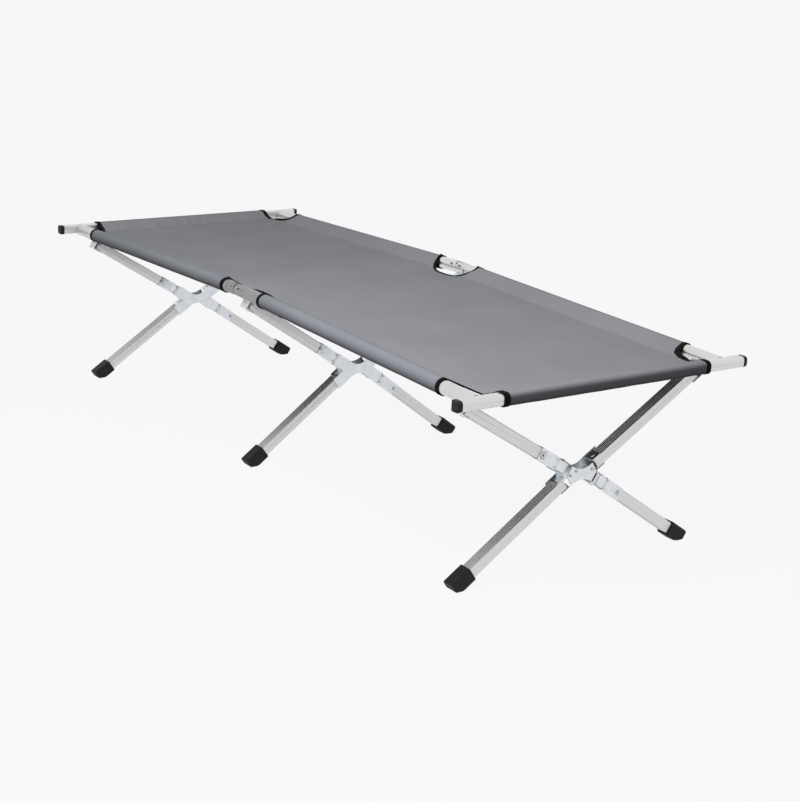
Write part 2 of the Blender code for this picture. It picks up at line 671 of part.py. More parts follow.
def fabric_bed():
    """Sheet with a sleeve round each rail half and each end bar, and notches at the corners and seams."""
    sleeve_radius = RAIL_RADIUS + SEAT_GAP + FABRIC
    sleeves = []
    for side in (-1, 1):
        ring = circle(sleeve_radius, RAIL_SIDES, (side * RAIL_Y, RAIL_Z))
        sleeves.append(prism(ring, MIDDLE_CUT_X + MIDDLE_CUT_HALF, SIDE_SLEEVE_END, along_rail))
        sleeves.append(prism(ring, -SIDE_SLEEVE_END, MIDDLE_CUT_X - MIDDLE_CUT_HALF, along_rail))
    for outward in (-1, 1):
        sleeves.append(prism_y(bar_outline(outward, SEAT_GAP + FABRIC), -CORNER_CUT_Y, CORNER_CUT_Y))
    body = join(bed_sheet(), *sleeves)
    cutters = []
    for side in (-1, 1):
        bore = circle(RAIL_RADIUS + SEAT_GAP, RAIL_SIDES, (side * RAIL_Y, RAIL_Z))
        cutters.append(prism(bore, SEAM_X, BAR_X, along_rail))
        cutters.append(prism(bore, -BAR_X, SEAM_X, along_rail))
        cutters.append(middle_notch(side))
    for outward in (-1, 1):
        cutters.append(prism_y(bar_outline(outward, SEAT_GAP), -RAIL_Y - CUT_MARGIN, RAIL_Y + CUT_MARGIN))
        cutters += [corner_notch(outward, side) for side in (-1, 1)]
    return cut(body, *cutters)


# Assembly

def build():
    clear_scene()
    aluminium = material("aluminium", (0.78, 0.78, 0.79), 0.32, 1.0)
    zinc = material("zinc_steel", (0.72, 0.75, 0.80), 0.35, 1.0)
    rubber = material("black_rubber", (0.02, 0.02, 0.022), 0.7, 0.0)
    plastic = material("black_plastic", (0.03, 0.03, 0.032), 0.5, 0.0)
    fabric = material("grey_fabric", (0.24, 0.25, 0.27), 0.85, 0.0)

    side_names = {-1: "left", 1: "right"}
    end_signs = {"near": 1, "far": -1}

    for side, side_name in side_names.items():
        for end in end_signs:
            pivot = (SEAM_X + end_signs[end] * LINK_SPACING / 2, side * RAIL_Y, RAIL_Z + LINK_RISE)
            add_part(f"rail_{side_name}_{end}", rail_half(side, end), aluminium, origin=pivot, round_part=True)
        add_part(f"rail_link_{side_name}", rail_link(side), zinc,
                 origin=(SEAM_X + LINK_SPACING / 2, side * RAIL_Y, RAIL_Z + LINK_RISE), round_part=True)

    for end, outward in end_signs.items():
        add_part(f"end_bar_{end}", end_bar(outward), aluminium, origin=(outward * BAR_X, 0.0, BAR_TOP),
                 round_part=True)
        for side, side_name in side_names.items():
            add_part(f"bar_cap_{side_name}_{end}", bar_cap(outward, side), plastic,
                     origin=(outward * BAR_X, side * BAR_HALF_LENGTH, BAR_TOP), round_part=True)

    for set_name, legs in SETS.items():
        hub_origin = hub_pin(legs, -1, 1)
        add_part(f"hinge_plate_{set_name}", hub_plate(legs), zinc, origin=hub_origin)
        add_part(f"hinge_cover_{set_name}", hub_cover(legs), zinc, origin=hub_origin)
        upper_length = (leg_target(legs, *UPPER_RIGHT) - hub_pin(legs, *UPPER_RIGHT)).length
        upper_mesh = leg_tube(upper_length, True)
        lower_mesh = leg_tube(lower_leg_end(legs), False)
        for side, side_name in side_names.items():
            add_part(f"leg_upper_{side_name}_{set_name}", upper_mesh, aluminium, matrix=leg_frame(legs, side, 1))
            top_frame = tube_frame(leg_target(legs, side, 1), hub_pin(legs, side, 1))
            add_part(f"rail_bracket_{side_name}_{set_name}", rail_bracket(top_frame, side), zinc,
                     matrix=top_frame)
            add_part(f"leg_lower_{side_name}_{set_name}", lower_mesh, aluminium,
                     matrix=leg_frame(legs, side, -1))
            add_part(f"foot_{side_name}_{set_name}", rubber_foot(legs, side), rubber,
                     origin=leg_target(legs, side, -1))
        for side, level, place in ((-1, 1, "upper_left"), (1, -1, "lower_right")):
            add_part(f"end_sleeve_{place}_{set_name}", end_sleeve(), zinc, matrix=leg_frame(legs, side, level))

    add_part("bed_fabric", fabric_bed(), fabric, round_part=True)


build()
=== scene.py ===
import math
from collections import namedtuple

import bmesh
import bpy
from mathutils import Matrix, Vector, noise


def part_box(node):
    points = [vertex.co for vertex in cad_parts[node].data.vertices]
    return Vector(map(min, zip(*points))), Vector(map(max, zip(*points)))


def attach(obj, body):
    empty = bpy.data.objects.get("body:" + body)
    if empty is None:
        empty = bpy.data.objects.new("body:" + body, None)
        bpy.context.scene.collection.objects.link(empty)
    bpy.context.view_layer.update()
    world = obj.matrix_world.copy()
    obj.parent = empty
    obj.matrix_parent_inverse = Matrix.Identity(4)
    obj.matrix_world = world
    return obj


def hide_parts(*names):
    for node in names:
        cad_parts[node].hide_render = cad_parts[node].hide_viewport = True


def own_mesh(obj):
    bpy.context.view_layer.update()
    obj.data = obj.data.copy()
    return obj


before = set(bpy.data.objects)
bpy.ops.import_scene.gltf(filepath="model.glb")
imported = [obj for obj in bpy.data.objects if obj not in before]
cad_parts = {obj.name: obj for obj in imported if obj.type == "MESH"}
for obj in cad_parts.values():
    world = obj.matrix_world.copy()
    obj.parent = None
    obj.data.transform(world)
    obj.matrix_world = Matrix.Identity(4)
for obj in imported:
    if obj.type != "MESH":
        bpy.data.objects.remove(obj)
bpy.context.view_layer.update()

# The cot: X runs along the bed, Y across it, Z up; metres.
WELD = 1e-6
NODE_WELD = 1e-5
CUT_MARGIN = 0.05
SIDES = {"left": -1, "right": 1}
ENDS = {"near": 1, "far": -1}

# Rails, their links and the end bars
RAIL_RADIUS = 0.015
RAIL_WALL = 0.0013
RAIL_SIDES = 72
FINE_ROUND = 0.0003
RAIL_Y = 0.323
RAIL_Z = 0.436
RAIL_SLOPE = 0.0237
SEAM_X = -0.010
SEAT_GAP = 0.0003
RUN_GAP = 0.0004
LINK_SPACING = 0.032
LINK_RISE = 0.008
LINK_HEIGHT = 0.009
LINK_THICKNESS = 0.003
SEAM_RELIEF = 0.0022
BAR_X = 0.940
BAR_WIDTH = 0.024
BAR_HEIGHT = 0.0237
BAR_TOP = 0.4277
BAR_HALF_LENGTH = 0.3715
BAR_WALL = 0.0015
BAR_OUTER_ROUND = 0.008
BAR_INNER_ROUND = 0.003
BAR_GROOVES = (-0.0045, 0.0025)
BAR_GROOVE_HALF = 0.0006
BAR_GROOVE_DEPTH = 0.0005
CAP_THICKNESS = 0.010
CAP_ROUND = 0.0016
BUTTON_INSET = 0.001
BUTTON_RADIUS = 0.0022
BUTTON_HEIGHT = 0.0003

# Legs, their hinges and rivets
LEG_WIDTH = 0.025
LEG_DEPTH = 0.026
LEG_WALL = 0.0016
LEG_CORNER = 0.0022
LEG_GROOVES = (-0.0076, -0.0026, 0.0026, 0.0076)
LEG_GROOVE_WIDTH = 0.0018
LEG_GROOVE_DEPTH = 0.0006
LEG_LINE_HALF = 0.0005
LEG_LINE_DEPTH = 0.0003
LegSet = namedtuple("LegSet", "x hub_z top_z foot_y")
SETS = {
    "near": LegSet(0.867, 0.2025, 0.3795, 0.317),
    "middle": LegSet(0.010, 0.2120, 0.3995, 0.306),
    "far": LegSet(-0.860, 0.2025, 0.3795, 0.317),
}
HUB_PIN_Y = 0.046
HUB_PIN_Z = 0.019
TOP_PIN_Y = 0.300
TUBE_FLOOR_GAP = 0.005
SLEEVE_START = 0.026
SLEEVE_LENGTH = 0.056
SLEEVE_PLATE = 0.0012
SLEEVE_LIP = 0.016
SLEEVE_ROUND = 0.0014
RIB_PLACES = (-0.0072, 0.0, 0.0072)
RIB_INSET = 0.006
RIB_HALF_WIDTH = 0.0019
RIB_HEIGHT = 0.0013
TONGUE_INSET = 0.0016
TONGUE_OVERLAP = 0.001
TONGUE_TIP = 0.0015
TONGUE_ROUND = 0.004
DOME_ANGLES = (0.0, math.pi / 6, math.pi / 3)
RIVET_FOOT = 0.0004
RIVET_HEIGHT = 0.0014
RIVET_INSET = 0.003
NEAR_RIVET_INSET = 0.010
SLEEVE_RIVETS = {"upper_left": 0.0066, "lower_right": 0.0046, "other": 0.0036}
PAIR_RADIUS = 0.0024
PAIR_PLACES = (0.0088, -0.0088)
COVER_MARKS = ((-0.0300, 0.0005), (-0.0149, 0.0083), (0.0290, 0.0070))
COVER_RIVET = 0.0036
COVER_RIVET_HEIGHT = 0.0009
COVER_DIMPLE = 0.0017
# Radius of the painted shadow disc in a cover rivet's dimple
COVER_SHADOW_RADIUS = 0.0016
PLATE_ROUND = 0.0004
FOOT_ROUND = 0.0022

# Cloth
FABRIC = 0.0015
WRAP_OFFSET = SEAT_GAP + FABRIC
CLOTH = 0.0011
BED_SAG = 0.006
END_SLOPE = 0.10
SIDE_SLEEVE_END = 0.826
CORNER_CUT_Y = 0.272
CORNER_EDGE = [(0.826, 0.323), (0.829, 0.303), (0.834, 0.294), (0.850, 0.288), (0.873, 0.283),
               (0.905, 0.272)]
Notch = namedtuple("Notch", "middle half")
NOTCHES = {-1: Notch(0.021, 0.084), 1: Notch(-0.0075, 0.0775)}
MIDDLE_CUT_Y = 0.270
NOTCH_DROOP = {-1: 0.0045, 1: 0.0075}
DROOP_REACH = 0.110
GATHER_START = 0.850
GATHER_END = 0.934
GATHER_FADES = (0.03, 0.02)
GATHER_DEPTH = {-1: 0.0036, 1: 0.0004}
SLACK_DEPTH = 0.0012
CREASE_DEPTH = 0.0005
SLACK_FADE_X = 0.06
SLACK_FADE_Y = 0.10
SEW_Y = 0.277
SEW_X = 0.894
SEW_DROP = 0.003
SEW_ROWS_GAP = 0.005
SEW_INSET = 0.004
STITCH_PITCH = 0.0042
STITCH_LENGTH = 0.0028
THREAD_RADIUS = 0.00028
FLAP_GAP = 0.0002
SLEEVE_WAVE = 0.0004
HEM_WAVE = 0.0005
RING_INSET = 0.0002
RING_WIDTH = 0.0105
HEM_RING_WIDTH = 0.0125
NOTCH_TAPE_WIDTH = 0.0075
CORNER_TAPE_WIDTH = 0.0115
TAPE_THICKNESS = 0.0036
TAPE_PROUD = 0.0007
# Fade of the painted dark reflection on the left rails at the middle notch
DARK_REFLECTION_FADE = 0.03
SEAM_LINE = 0.0016
SPLIT_Y = 0.255

# Columns of the sheet: offsets from a notch's ends and from a bar's axis, and shares across a rim
NOTCH_OFFSETS = (0.0, 0.0004, 0.0012, 0.0025, 0.0045, 0.007, 0.010)
BAR_OFFSETS = (0.0145, 0.013, 0.0115, 0.0105, 0.009, 0.0045)
CORNER_PLACES = [place for place, _ in CORNER_EDGE]
CORNER_COLUMNS = [0.840 + i * 0.006 for i in range(17)]
COLUMN_STEP = 0.012
COLUMN_GAP = 0.0003
RIM_SHARES = sorted([i / 20 for i in range(15)] + [(SEW_Y - SPLIT_Y) / (RAIL_Y - SPLIT_Y)]
                    + [0.74, 0.78, 0.82, 0.86, 0.89, 0.92, 0.94, 0.96, 0.98, 1.0])

# Camera and light: place in metres, angles in degrees, lens in millimetres, lamp in watts.
CAMERA_PLACE = Vector((3.26133, -2.12735, 1.29098))
CAMERA_AZIMUTH = 55.0996
CAMERA_ELEVATION = 16.6398
CAMERA_ROLL = 2.5556
CAMERA_LENS = 72.52
CAMERA_RANGE = 200.0
PALE = (0.944, 0.944, 0.944, 1.0)
WHITE = (1.0, 1.0, 1.0, 1.0)
AMBIENT = 0.36
FLOOR_SIZE = 60.0
FLOOR_SHADOW = 0.03
FLOOR_BOUNCE = 0.12
LAMP_POWER = 56.0
LAMP_SIZE = 1.7
LAMP_PLACE = Vector((0.92, -1.45, 2.05))
LAMP_TARGET = Vector((0.15, 0.0, 0.43))


# Shader nodes

def add_node(tree, kind, values=None, links=None, **settings):
    """New shader node, with values for its sockets, sources linked to them and its own settings."""
    node = tree.nodes.new("ShaderNode" + kind)
    for key, value in settings.items():
        setattr(node, key, value)
    for socket, value in (values or {}).items():
        node.inputs[socket].default_value = value
    for socket, source in (links or {}).items():
        tree.links.new(source, node.inputs[socket])
    return node


def arithmetic(tree, operation, first, second):
    node = add_node(tree, "Math", operation=operation)
    for socket, value in zip(node.inputs, (first, second)):
        if isinstance(value, float):
            socket.default_value = value
        else:
            tree.links.new(value, socket)
    return node.outputs[0]


def mixed_shaders(tree, factor, first, second):
    """First shader where the factor is 0, second where it is 1."""
    mix = add_node(tree, "MixShader", links={1: first.outputs[0], 2: second.outputs[0]})
    if isinstance(factor, float):
        mix.inputs[0].default_value = factor
    else:
        tree.links.new(factor, mix.inputs[0])
    return mix


def seen_directly(tree):
    """Factor: 1 for camera, glossy and transmission rays, 0 for diffuse ones."""
    rays = add_node(tree, "LightPath").outputs
    seen = arithmetic(tree, "MAXIMUM", rays["Is Camera Ray"], rays["Is Glossy Ray"])
    return arithmetic(tree, "MAXIMUM", seen, rays["Is Transmission Ray"])


# Camera, light and stage

def place_camera():
    data = bpy.data.cameras.new("camera")
    camera = object_of("camera", data)
    azimuth, elevation, roll = map(math.radians, (CAMERA_AZIMUTH, CAMERA_ELEVATION, CAMERA_ROLL))
    back = Vector((math.sin(azimuth) * math.cos(elevation), -math.cos(azimuth) * math.cos(elevation),
                   math.sin(elevation)))
    side = (-back).cross(Vector((0.0, 0.0, 1.0))).normalized()
    up = side.cross(-back)
    rolled_side = side * math.cos(roll) + up * math.sin(roll)
    rolled_up = up * math.cos(roll) - side * math.sin(roll)
    turn = Matrix((rolled_side, rolled_up, back)).transposed()
    camera.matrix_world = Matrix.Translation(CAMERA_PLACE) @ turn.to_4x4()
    data.lens = CAMERA_LENS
    data.clip_end = CAMERA_RANGE
    bpy.context.scene.camera = camera


def make_world(scene):
    scene.world = bpy.data.worlds.new("world")
    scene.world.use_nodes = True
    tree = scene.world.node_tree
    tree.nodes.clear()
    seen = add_node(tree, "Background", {"Color": PALE})
    ambient = add_node(tree, "Background", {"Color": WHITE, "Strength": AMBIENT})
    mix = mixed_shaders(tree, seen_directly(tree), ambient, seen)
    add_node(tree, "OutputWorld", links={"Surface": mix.outputs[0]})


def make_floor():
    half = FLOOR_SIZE / 2
    mesh = bpy.data.meshes.new("floor")
    mesh.from_pydata([(x, y, 0.0) for x, y in rectangle(-half, half, -half, half)], [], [(0, 1, 2, 3)])
    floor = object_of("floor", mesh)
    mat = bpy.data.materials.new("floor")
    mat.use_nodes = True
    tree = mat.node_tree
    tree.nodes.clear()
    glow = add_node(tree, "Emission", {"Color": PALE})
    shaded = add_node(tree, "BsdfDiffuse", {"Color": PALE})
    dim = add_node(tree, "BsdfDiffuse", {"Color": (FLOOR_BOUNCE, FLOOR_BOUNCE, FLOOR_BOUNCE, 1.0)})
    pale = mixed_shaders(tree, FLOOR_SHADOW, glow, shaded)
    mix = mixed_shaders(tree, seen_directly(tree), dim, pale)
    add_node(tree, "OutputMaterial", links={"Surface": mix.outputs[0]})
    mesh.materials.append(mat)


def light_scene():
    scene = bpy.context.scene
    scene.view_settings.view_transform = "Standard"
    make_world(scene)
    lamp = bpy.data.lights.new("key_lamp", "AREA")
    lamp.energy = LAMP_POWER
    lamp.shape = "DISK"
    lamp.size = LAMP_SIZE
    key = object_of("key_lamp", lamp)
    key.location = LAMP_PLACE
    key.rotation_mode = "QUATERNION"
    key.rotation_quaternion = (LAMP_PLACE - LAMP_TARGET).to_track_quat("Z", "Y")
    key.visible_glossy = False
    make_floor()


# Materials

def new_material(name, colour, roughness, metallic=0.0):
    mat = bpy.data.materials.new(name)
    mat.use_nodes = True
    shader = mat.node_tree.nodes["Principled BSDF"]
    shader.inputs["Base Color"].default_value = (*colour, 1.0)
    shader.inputs["Roughness"].default_value = roughness
    shader.inputs["Metallic"].default_value = metallic
    return mat, mat.node_tree, shader


def coordinates(tree, kind, axis=None):
    """Texture coordinates of a piece, whole or one axis of them."""
    source = add_node(tree, "TexCoord").outputs[kind]
    return add_node(tree, "SeparateXYZ", links={0: source}).outputs[axis] if axis else source


def texture_space(tree, stretch=(1.0, 1.0, 1.0)):
    place = coordinates(tree, "Object")
    return add_node(tree, "Mapping", {"Scale": stretch}, {"Vector": place}).outputs["Vector"]


def noise_field(tree, vector, scale, detail=2.0, roughness=0.5):
    values = {"Scale": scale, "Detail": detail, "Roughness": roughness}
    return add_node(tree, "TexNoise", values, {"Vector": vector}).outputs["Fac"]


def ramp(tree, factor, low, high, colours):
    """Colour that runs from the first to the second of two, between two values of the factor."""
    node = add_node(tree, "ValToRGB", links={"Fac": factor})
    for element, position, colour in zip(node.color_ramp.elements, (low, high), colours):
        element.position = position
        element.color = (*colour, 1.0)
    return node.outputs["Color"]


def spread(tree, factor, low, high, start=0.0, stop=1.0):
    """Factor between start and stop mapped to a range, and held at its ends."""
    values = {"From Min": start, "From Max": stop, "To Min": low, "To Max": high}
    return add_node(tree, "MapRange", values, {"Value": factor}).outputs["Result"]


def bump(tree, height, shader, strength, distance):
    node = add_node(tree, "Bump", {"Strength": strength, "Distance": distance}, {"Height": height})
    tree.links.new(node.outputs["Normal"], shader.inputs["Normal"])


def scaled_colour(tree, colour, factor):
    node = add_node(tree, "VectorMath", links={0: colour, "Scale": factor}, operation="SCALE")
    return node.outputs["Vector"]


def painted_shade_by_facing(tree, colour, axis, away, towards):
    """Painted shade: colour scaled by how squarely a face looks along one axis of its piece."""
    share = arithmetic(tree, "ABSOLUTE", coordinates(tree, "Normal", axis), 0.0)
    return scaled_colour(tree, colour, spread(tree, share, away, towards))


def weighted(tree, *terms):
    """Sum of factors, each with its weight."""
    total = None
    for source, weight in terms:
        term = arithmetic(tree, "MULTIPLY", source, weight)
        total = term if total is None else arithmetic(tree, "ADD", total, term)
    return total


def distance_from(tree, place):
    """Distance along X from a place on the bed."""
    offset = arithmetic(tree, "SUBTRACT", coordinates(tree, "Object", "X"), place)
    return arithmetic(tree, "ABSOLUTE", offset, 0.0)


def seam_line_and_dark_reflection(tree, colour):
    """Painted dark reflection, broken into streaks across the tube, on the band of a rail where its sleeve
    is cut away over the seam, with a dark line at the seam itself.
    """
    notch = NOTCHES[-1]
    band = spread(tree, distance_from(tree, notch.middle), 1.0, 0.0, notch.half, notch.half + DARK_REFLECTION_FADE)
    streaks = noise_field(tree, texture_space(tree, (1.0, 0.06, 0.06)), 420.0, 2.0, 0.7)
    depth = arithmetic(tree, "MULTIPLY", band, spread(tree, streaks, 0.82, 0.30))
    line = spread(tree, distance_from(tree, SEAM_X), 0.9, 0.0, SEAM_LINE / 2, SEAM_LINE)
    depth = arithmetic(tree, "MAXIMUM", depth, line)
    return scaled_colour(tree, colour, arithmetic(tree, "SUBTRACT", 1.0, depth))


def drawn_aluminium(name, along, shade_axis=None, shade_tone=1.0, painted_dark_reflection=False, satin=0.0):
    """Satin tube metal with fine drawing lines along one axis, painted shade on the faces along the shade
    axis and, if asked, a painted dark reflection over the seam.
    """
    mat, tree, shader = new_material(name, (0.80, 0.80, 0.795), 0.30, 1.0)
    stretch = [1.0, 1.0, 1.0]
    stretch["XYZ".index(along)] = 0.012
    vector = texture_space(tree, stretch)
    lines = noise_field(tree, vector, 900.0, 2.0, 0.6)
    cloud = noise_field(tree, texture_space(tree), 14.0, 3.0, 0.6)
    tone = weighted(tree, (lines, 0.45), (cloud, 0.55))
    colour = ramp(tree, tone, 0.25, 0.75, ((0.66, 0.66, 0.655), (0.78, 0.778, 0.77)))
    if shade_axis:
        colour = painted_shade_by_facing(tree, colour, shade_axis, 1.0, shade_tone)
    if painted_dark_reflection:
        colour = seam_line_and_dark_reflection(tree, colour)
    tree.links.new(colour, shader.inputs["Base Color"])
    tree.links.new(spread(tree, tone, 0.24 + satin, 0.40 + satin), shader.inputs["Roughness"])
    bump(tree, lines, shader, 0.12, 0.0002)
    return mat


def zinc_plate(name, tone=1.0):
    mat, tree, shader = new_material(name, (0.74, 0.77, 0.80), 0.34, 1.0)
    vector = texture_space(tree)
    cloud = noise_field(tree, vector, 60.0, 4.0, 0.6)
    grain = noise_field(tree, vector, 700.0, 2.0, 0.5)
    colours = [[c * tone for c in colour] for colour in ((0.66, 0.69, 0.735), (0.82, 0.85, 0.885))]
    tree.links.new(ramp(tree, cloud, 0.30, 0.70, colours), shader.inputs["Base Color"])
    tree.links.new(spread(tree, cloud, 0.27, 0.44), shader.inputs["Roughness"])
    bump(tree, grain, shader, 0.10, 0.0002)
    return mat


def moulded(name, colour, roughness, grain_scale, strength, specular=0.5):
    mat, tree, shader = new_material(name, colour, roughness)
    shader.inputs["Specular IOR Level"].default_value = specular
    vector = texture_space(tree)
    grain = noise_field(tree, vector, grain_scale, 3.0, 0.6)
    cloud = noise_field(tree, vector, 40.0, 2.0, 0.5)
    colours = [[c * share for c in colour] for share in (0.75, 1.35)]
    tree.links.new(ramp(tree, cloud, 0.30, 0.70, colours), shader.inputs["Base Color"])
    tree.links.new(spread(tree, grain, roughness - 0.10, roughness + 0.10), shader.inputs["Roughness"])
    bump(tree, grain, shader, strength, 0.0003)
    return mat


def threads(tree, vector, axis, pitch):
    """Rounded threads across one axis, 0 to 1."""
    values = {"Scale": math.tau / (20.0 * pitch)}
    node = add_node(tree, "TexWave", values, {"Vector": vector}, bands_direction=axis)
    return node.outputs["Fac"]


def woven(name, low, high, roughness, specular, upright_shade=1.0, pitch=0.0006, strength=0.35):
    """Plain weave with uneven dye and slubs; its steep faces take a painted shade, down to the given tone
    on vertical ones.
    """
    mat, tree, shader = new_material(name, low, roughness)
    shader.inputs["Specular IOR Level"].default_value = specular
    vector = texture_space(tree)
    weave = arithmetic(tree, "MAXIMUM", *[threads(tree, vector, axis, pitch) for axis in "XY"])
    cloud = noise_field(tree, vector, 5.0, 3.0, 0.55)
    slub = noise_field(tree, texture_space(tree, (0.15, 1.0, 1.0)), 260.0, 2.0, 0.6)
    tone = weighted(tree, (cloud, 0.62), (slub, 0.26), (weave, 0.12))
    colour = ramp(tree, tone, 0.30, 0.72, (low, high))
    if upright_shade != 1.0:
        colour = painted_shade_by_facing(tree, colour, "Z", upright_shade, 1.0)
    tree.links.new(colour, shader.inputs["Base Color"])
    tree.links.new(spread(tree, slub, roughness - 0.06, roughness + 0.06), shader.inputs["Roughness"])
    bump(tree, weave, shader, strength, pitch * 0.35)
    return mat


def make_materials():
    return {
        "alu_x": drawn_aluminium("aluminium_rail", "X"),
        "alu_dark_reflection": drawn_aluminium("aluminium_rail_dark_reflection", "X", painted_dark_reflection=True),
        "alu_y": drawn_aluminium("aluminium_bar", "Y"),
        # Leg metal: painted shade, down to 0.78, on the ribbed faces along the leg's Y axis.
        "alu_z": drawn_aluminium("aluminium_leg", "Z", "Y", 0.78, satin=0.14),
        "zinc": zinc_plate("zinc"),
        "zinc_dull": zinc_plate("zinc_dull", 0.55),
        # Dark zinc for the painted shadows in rivet dimples and round a rivet's foot
        "zinc_painted_shadow": zinc_plate("zinc_painted_shadow", 0.12),
        "rubber": moulded("rubber", (0.010, 0.010, 0.011), 0.60, 900.0, 0.18, 0.28),
        "plastic": moulded("plastic", (0.013, 0.013, 0.014), 0.52, 1200.0, 0.10, 0.22),
        "bed": woven("bed_weave", (0.224, 0.231, 0.253), (0.272, 0.277, 0.296), 0.90, 0.04),
        # Sleeve and hem: painted shade on their steep faces, down to 0.86 and 0.62 of their top tone on
        # vertical ones.
        "sleeve": woven("sleeve_weave", (0.202, 0.211, 0.233), (0.240, 0.250, 0.275), 0.85, 0.10, 0.86),
        "hem": woven("hem_weave", (0.224, 0.229, 0.252), (0.272, 0.274, 0.296), 0.90, 0.04, 0.62),
        "binding": woven("binding_tape", (0.003, 0.003, 0.0035), (0.008, 0.008, 0.009), 0.85, 0.12,
                         pitch=0.0011, strength=0.60),
        "thread": moulded("thread", (0.24, 0.245, 0.26), 0.75, 900.0, 0.2),
    }


# Shapes: vertices and faces as lists

def merged(*shapes):
    vertices, faces = [], []
    for shape_vertices, shape_faces in shapes:
        start = len(vertices)
        vertices += list(shape_vertices)
        faces += [tuple(i + start for i in face) for face in shape_faces]
    return vertices, faces


def moved(shape, matrix):
    return [tuple(matrix @ Vector(v)) for v in shape[0]], shape[1]


def arc(centre, radius, start, end, steps):
    points = []
    for i in range(steps + 1):
        angle = math.radians(start + (end - start) * i / steps)
        points.append((centre[0] + radius * math.cos(angle), centre[1] + radius * math.sin(angle)))
    return points


def circle(radius, sides, centre=(0.0, 0.0)):
    return arc(centre, radius, 0.0, 360.0 * (sides - 1) / sides, sides - 1)


def rectangle(a_low, a_high, b_low, b_high):
    return [(a_low, b_low), (a_high, b_low), (a_high, b_high), (a_low, b_high)]


def prism(outline, low, high, place):
    count = len(outline)
    vertices = [place(a, b, h) for h in (low, high) for a, b in outline]
    faces = [tuple(range(count)), tuple(range(count, 2 * count))]
    for i in range(count):
        j = (i + 1) % count
        faces.append((i, j, count + j, count + i))
    return vertices, faces


def on_x(a, b, h):
    return h, a, b


def on_y(a, b, h):
    return a, h, b


def on_z(a, b, h):
    return a, b, h


def tube_walls(vertices, count):
    """Outer wall, inner wall and both rims of a tube, from its four rings of points."""
    faces = []
    for i in range(count):
        j = (i + 1) % count
        for first, second in ((0, 1), (2, 3), (0, 2), (1, 3)):
            a, b = first * count, second * count
            faces.append((a + i, a + j, b + j, b + i))
    return vertices, faces


def tube(outer, inner, low, high, place):
    """Open tube between matching outer and inner outlines."""
    vertices = [place(a, b, h) for ring in (outer, inner) for h in (low, high) for a, b in ring]
    return tube_walls(vertices, len(outer))


def grid(rows):
    """Open surface through rows of points with equal counts."""
    width = len(rows[0])
    vertices = [p for row in rows for p in row]
    faces = []
    for i in range(len(rows) - 1):
        for j in range(width - 1):
            a = i * width + j
            faces.append((a, a + 1, a + width + 1, a + width))
    return vertices, faces


def closed_loft(sections):
    """Closed body through closed sections with equal counts."""
    width = len(sections[0])
    vertices = [p for section in sections for p in section]
    faces = []
    for i in range(len(sections) - 1):
        for j in range(width):
            k = (j + 1) % width
            a, b = i * width, (i + 1) * width
            faces.append((a + j, a + k, b + k, b + j))
    faces.append(tuple(range(width)))
    faces.append(tuple(range((len(sections) - 1) * width, len(sections) * width)))
    return vertices, faces


def turned(profile, sides):
    """Body turned round Z through (radius, height) points."""
    return closed_loft([[(x, y, z) for x, y in circle(r, sides)] for r, z in profile])


def dome(radius, height, sides=24):
    """Rivet head standing on the XY plane, with its foot below it."""
    profile = [(radius * math.cos(angle), height * math.sin(angle)) for angle in DOME_ANGLES]
    return turned([(radius, -RIVET_FOOT)] + profile, sides)


def ring_rivet(radius, height, hole):
    """Rolled rivet head with a dimple in its middle."""
    profile = [(radius, -RIVET_FOOT), (radius, height * 0.45), (radius * 0.90, height * 0.85),
               (radius * 0.74, height), (hole * 1.15, height * 0.92), (hole, height * 0.55),
               (hole * 0.9, height * 0.1)]
    return turned(profile, 28)


def mesh_of(shape, facing=None):
    """Mesh of a shape, its faces turned outwards or, on an open surface, towards a direction."""
    bm = bmesh.new()
    points = [bm.verts.new(v) for v in shape[0]]
    for face in shape[1]:
        bm.faces.new([points[i] for i in face])
    bmesh.ops.remove_doubles(bm, verts=bm.verts, dist=WELD)
    bmesh.ops.recalc_face_normals(bm, faces=bm.faces)
    if facing is not None:
        outward = sum((f.normal * f.calc_area() for f in bm.faces), Vector())
        if outward.dot(facing) < 0:
            bmesh.ops.reverse_faces(bm, faces=bm.faces)
    mesh = bpy.data.meshes.new("shape")
    bm.to_mesh(mesh)
    bm.free()
    return mesh


def object_of(name, mesh):
    item = bpy.data.objects.new(name, mesh)
    bpy.context.scene.collection.objects.link(item)
    return item


def modify(item, kind, **settings):
    modifier = item.modifiers.new(kind.lower(), kind)
    for key, value in settings.items():
        setattr(modifier, key, value)


def bake(item):
    """Applies the modifiers of an object to its mesh."""
    bpy.context.view_layer.update()
    evaluated = item.evaluated_get(bpy.context.evaluated_depsgraph_get())
    mesh = bpy.data.meshes.new_from_object(evaluated)
    item.modifiers.clear()
    item.data = mesh


def cut_by(item, shapes):
    helpers = [object_of("cutter", mesh_of(shape)) for shape in shapes]
    for helper in helpers:
        modify(item, "BOOLEAN", operation="DIFFERENCE", solver="EXACT", object=helper)
    bake(item)
    for helper in helpers:
        bpy.data.objects.remove(helper, do_unlink=True)


def bevel_edges(item, width, segments=2, angle=30.0):
    modify(item, "BEVEL", width=width, segments=segments, limit_method="ANGLE",
           angle_limit=math.radians(angle), miter_outer="MITER_ARC")


def finish_piece(item, mat, body, sharp=40.0):
    item.data.materials.clear()
    item.data.materials.append(mat)
    item.data.shade_smooth()
    item.data.set_sharp_from_angle(angle=math.radians(sharp))
    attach(item, body)


def add_piece(name, shape, mat, body, matrix=None, cuts=(), bevel=None, stands_for=(), sharp=40.0):
    item = object_of(name, mesh_of(shape))
    if cuts:
        cut_by(item, cuts)
    if bevel:
        bevel_edges(item, *bevel)
        bake(item)
    if matrix is not None:
        item.matrix_world = matrix
    finish_piece(item, mat, body, sharp)
    if stands_for:
        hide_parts(*stands_for)
    return item


# Places on the cot

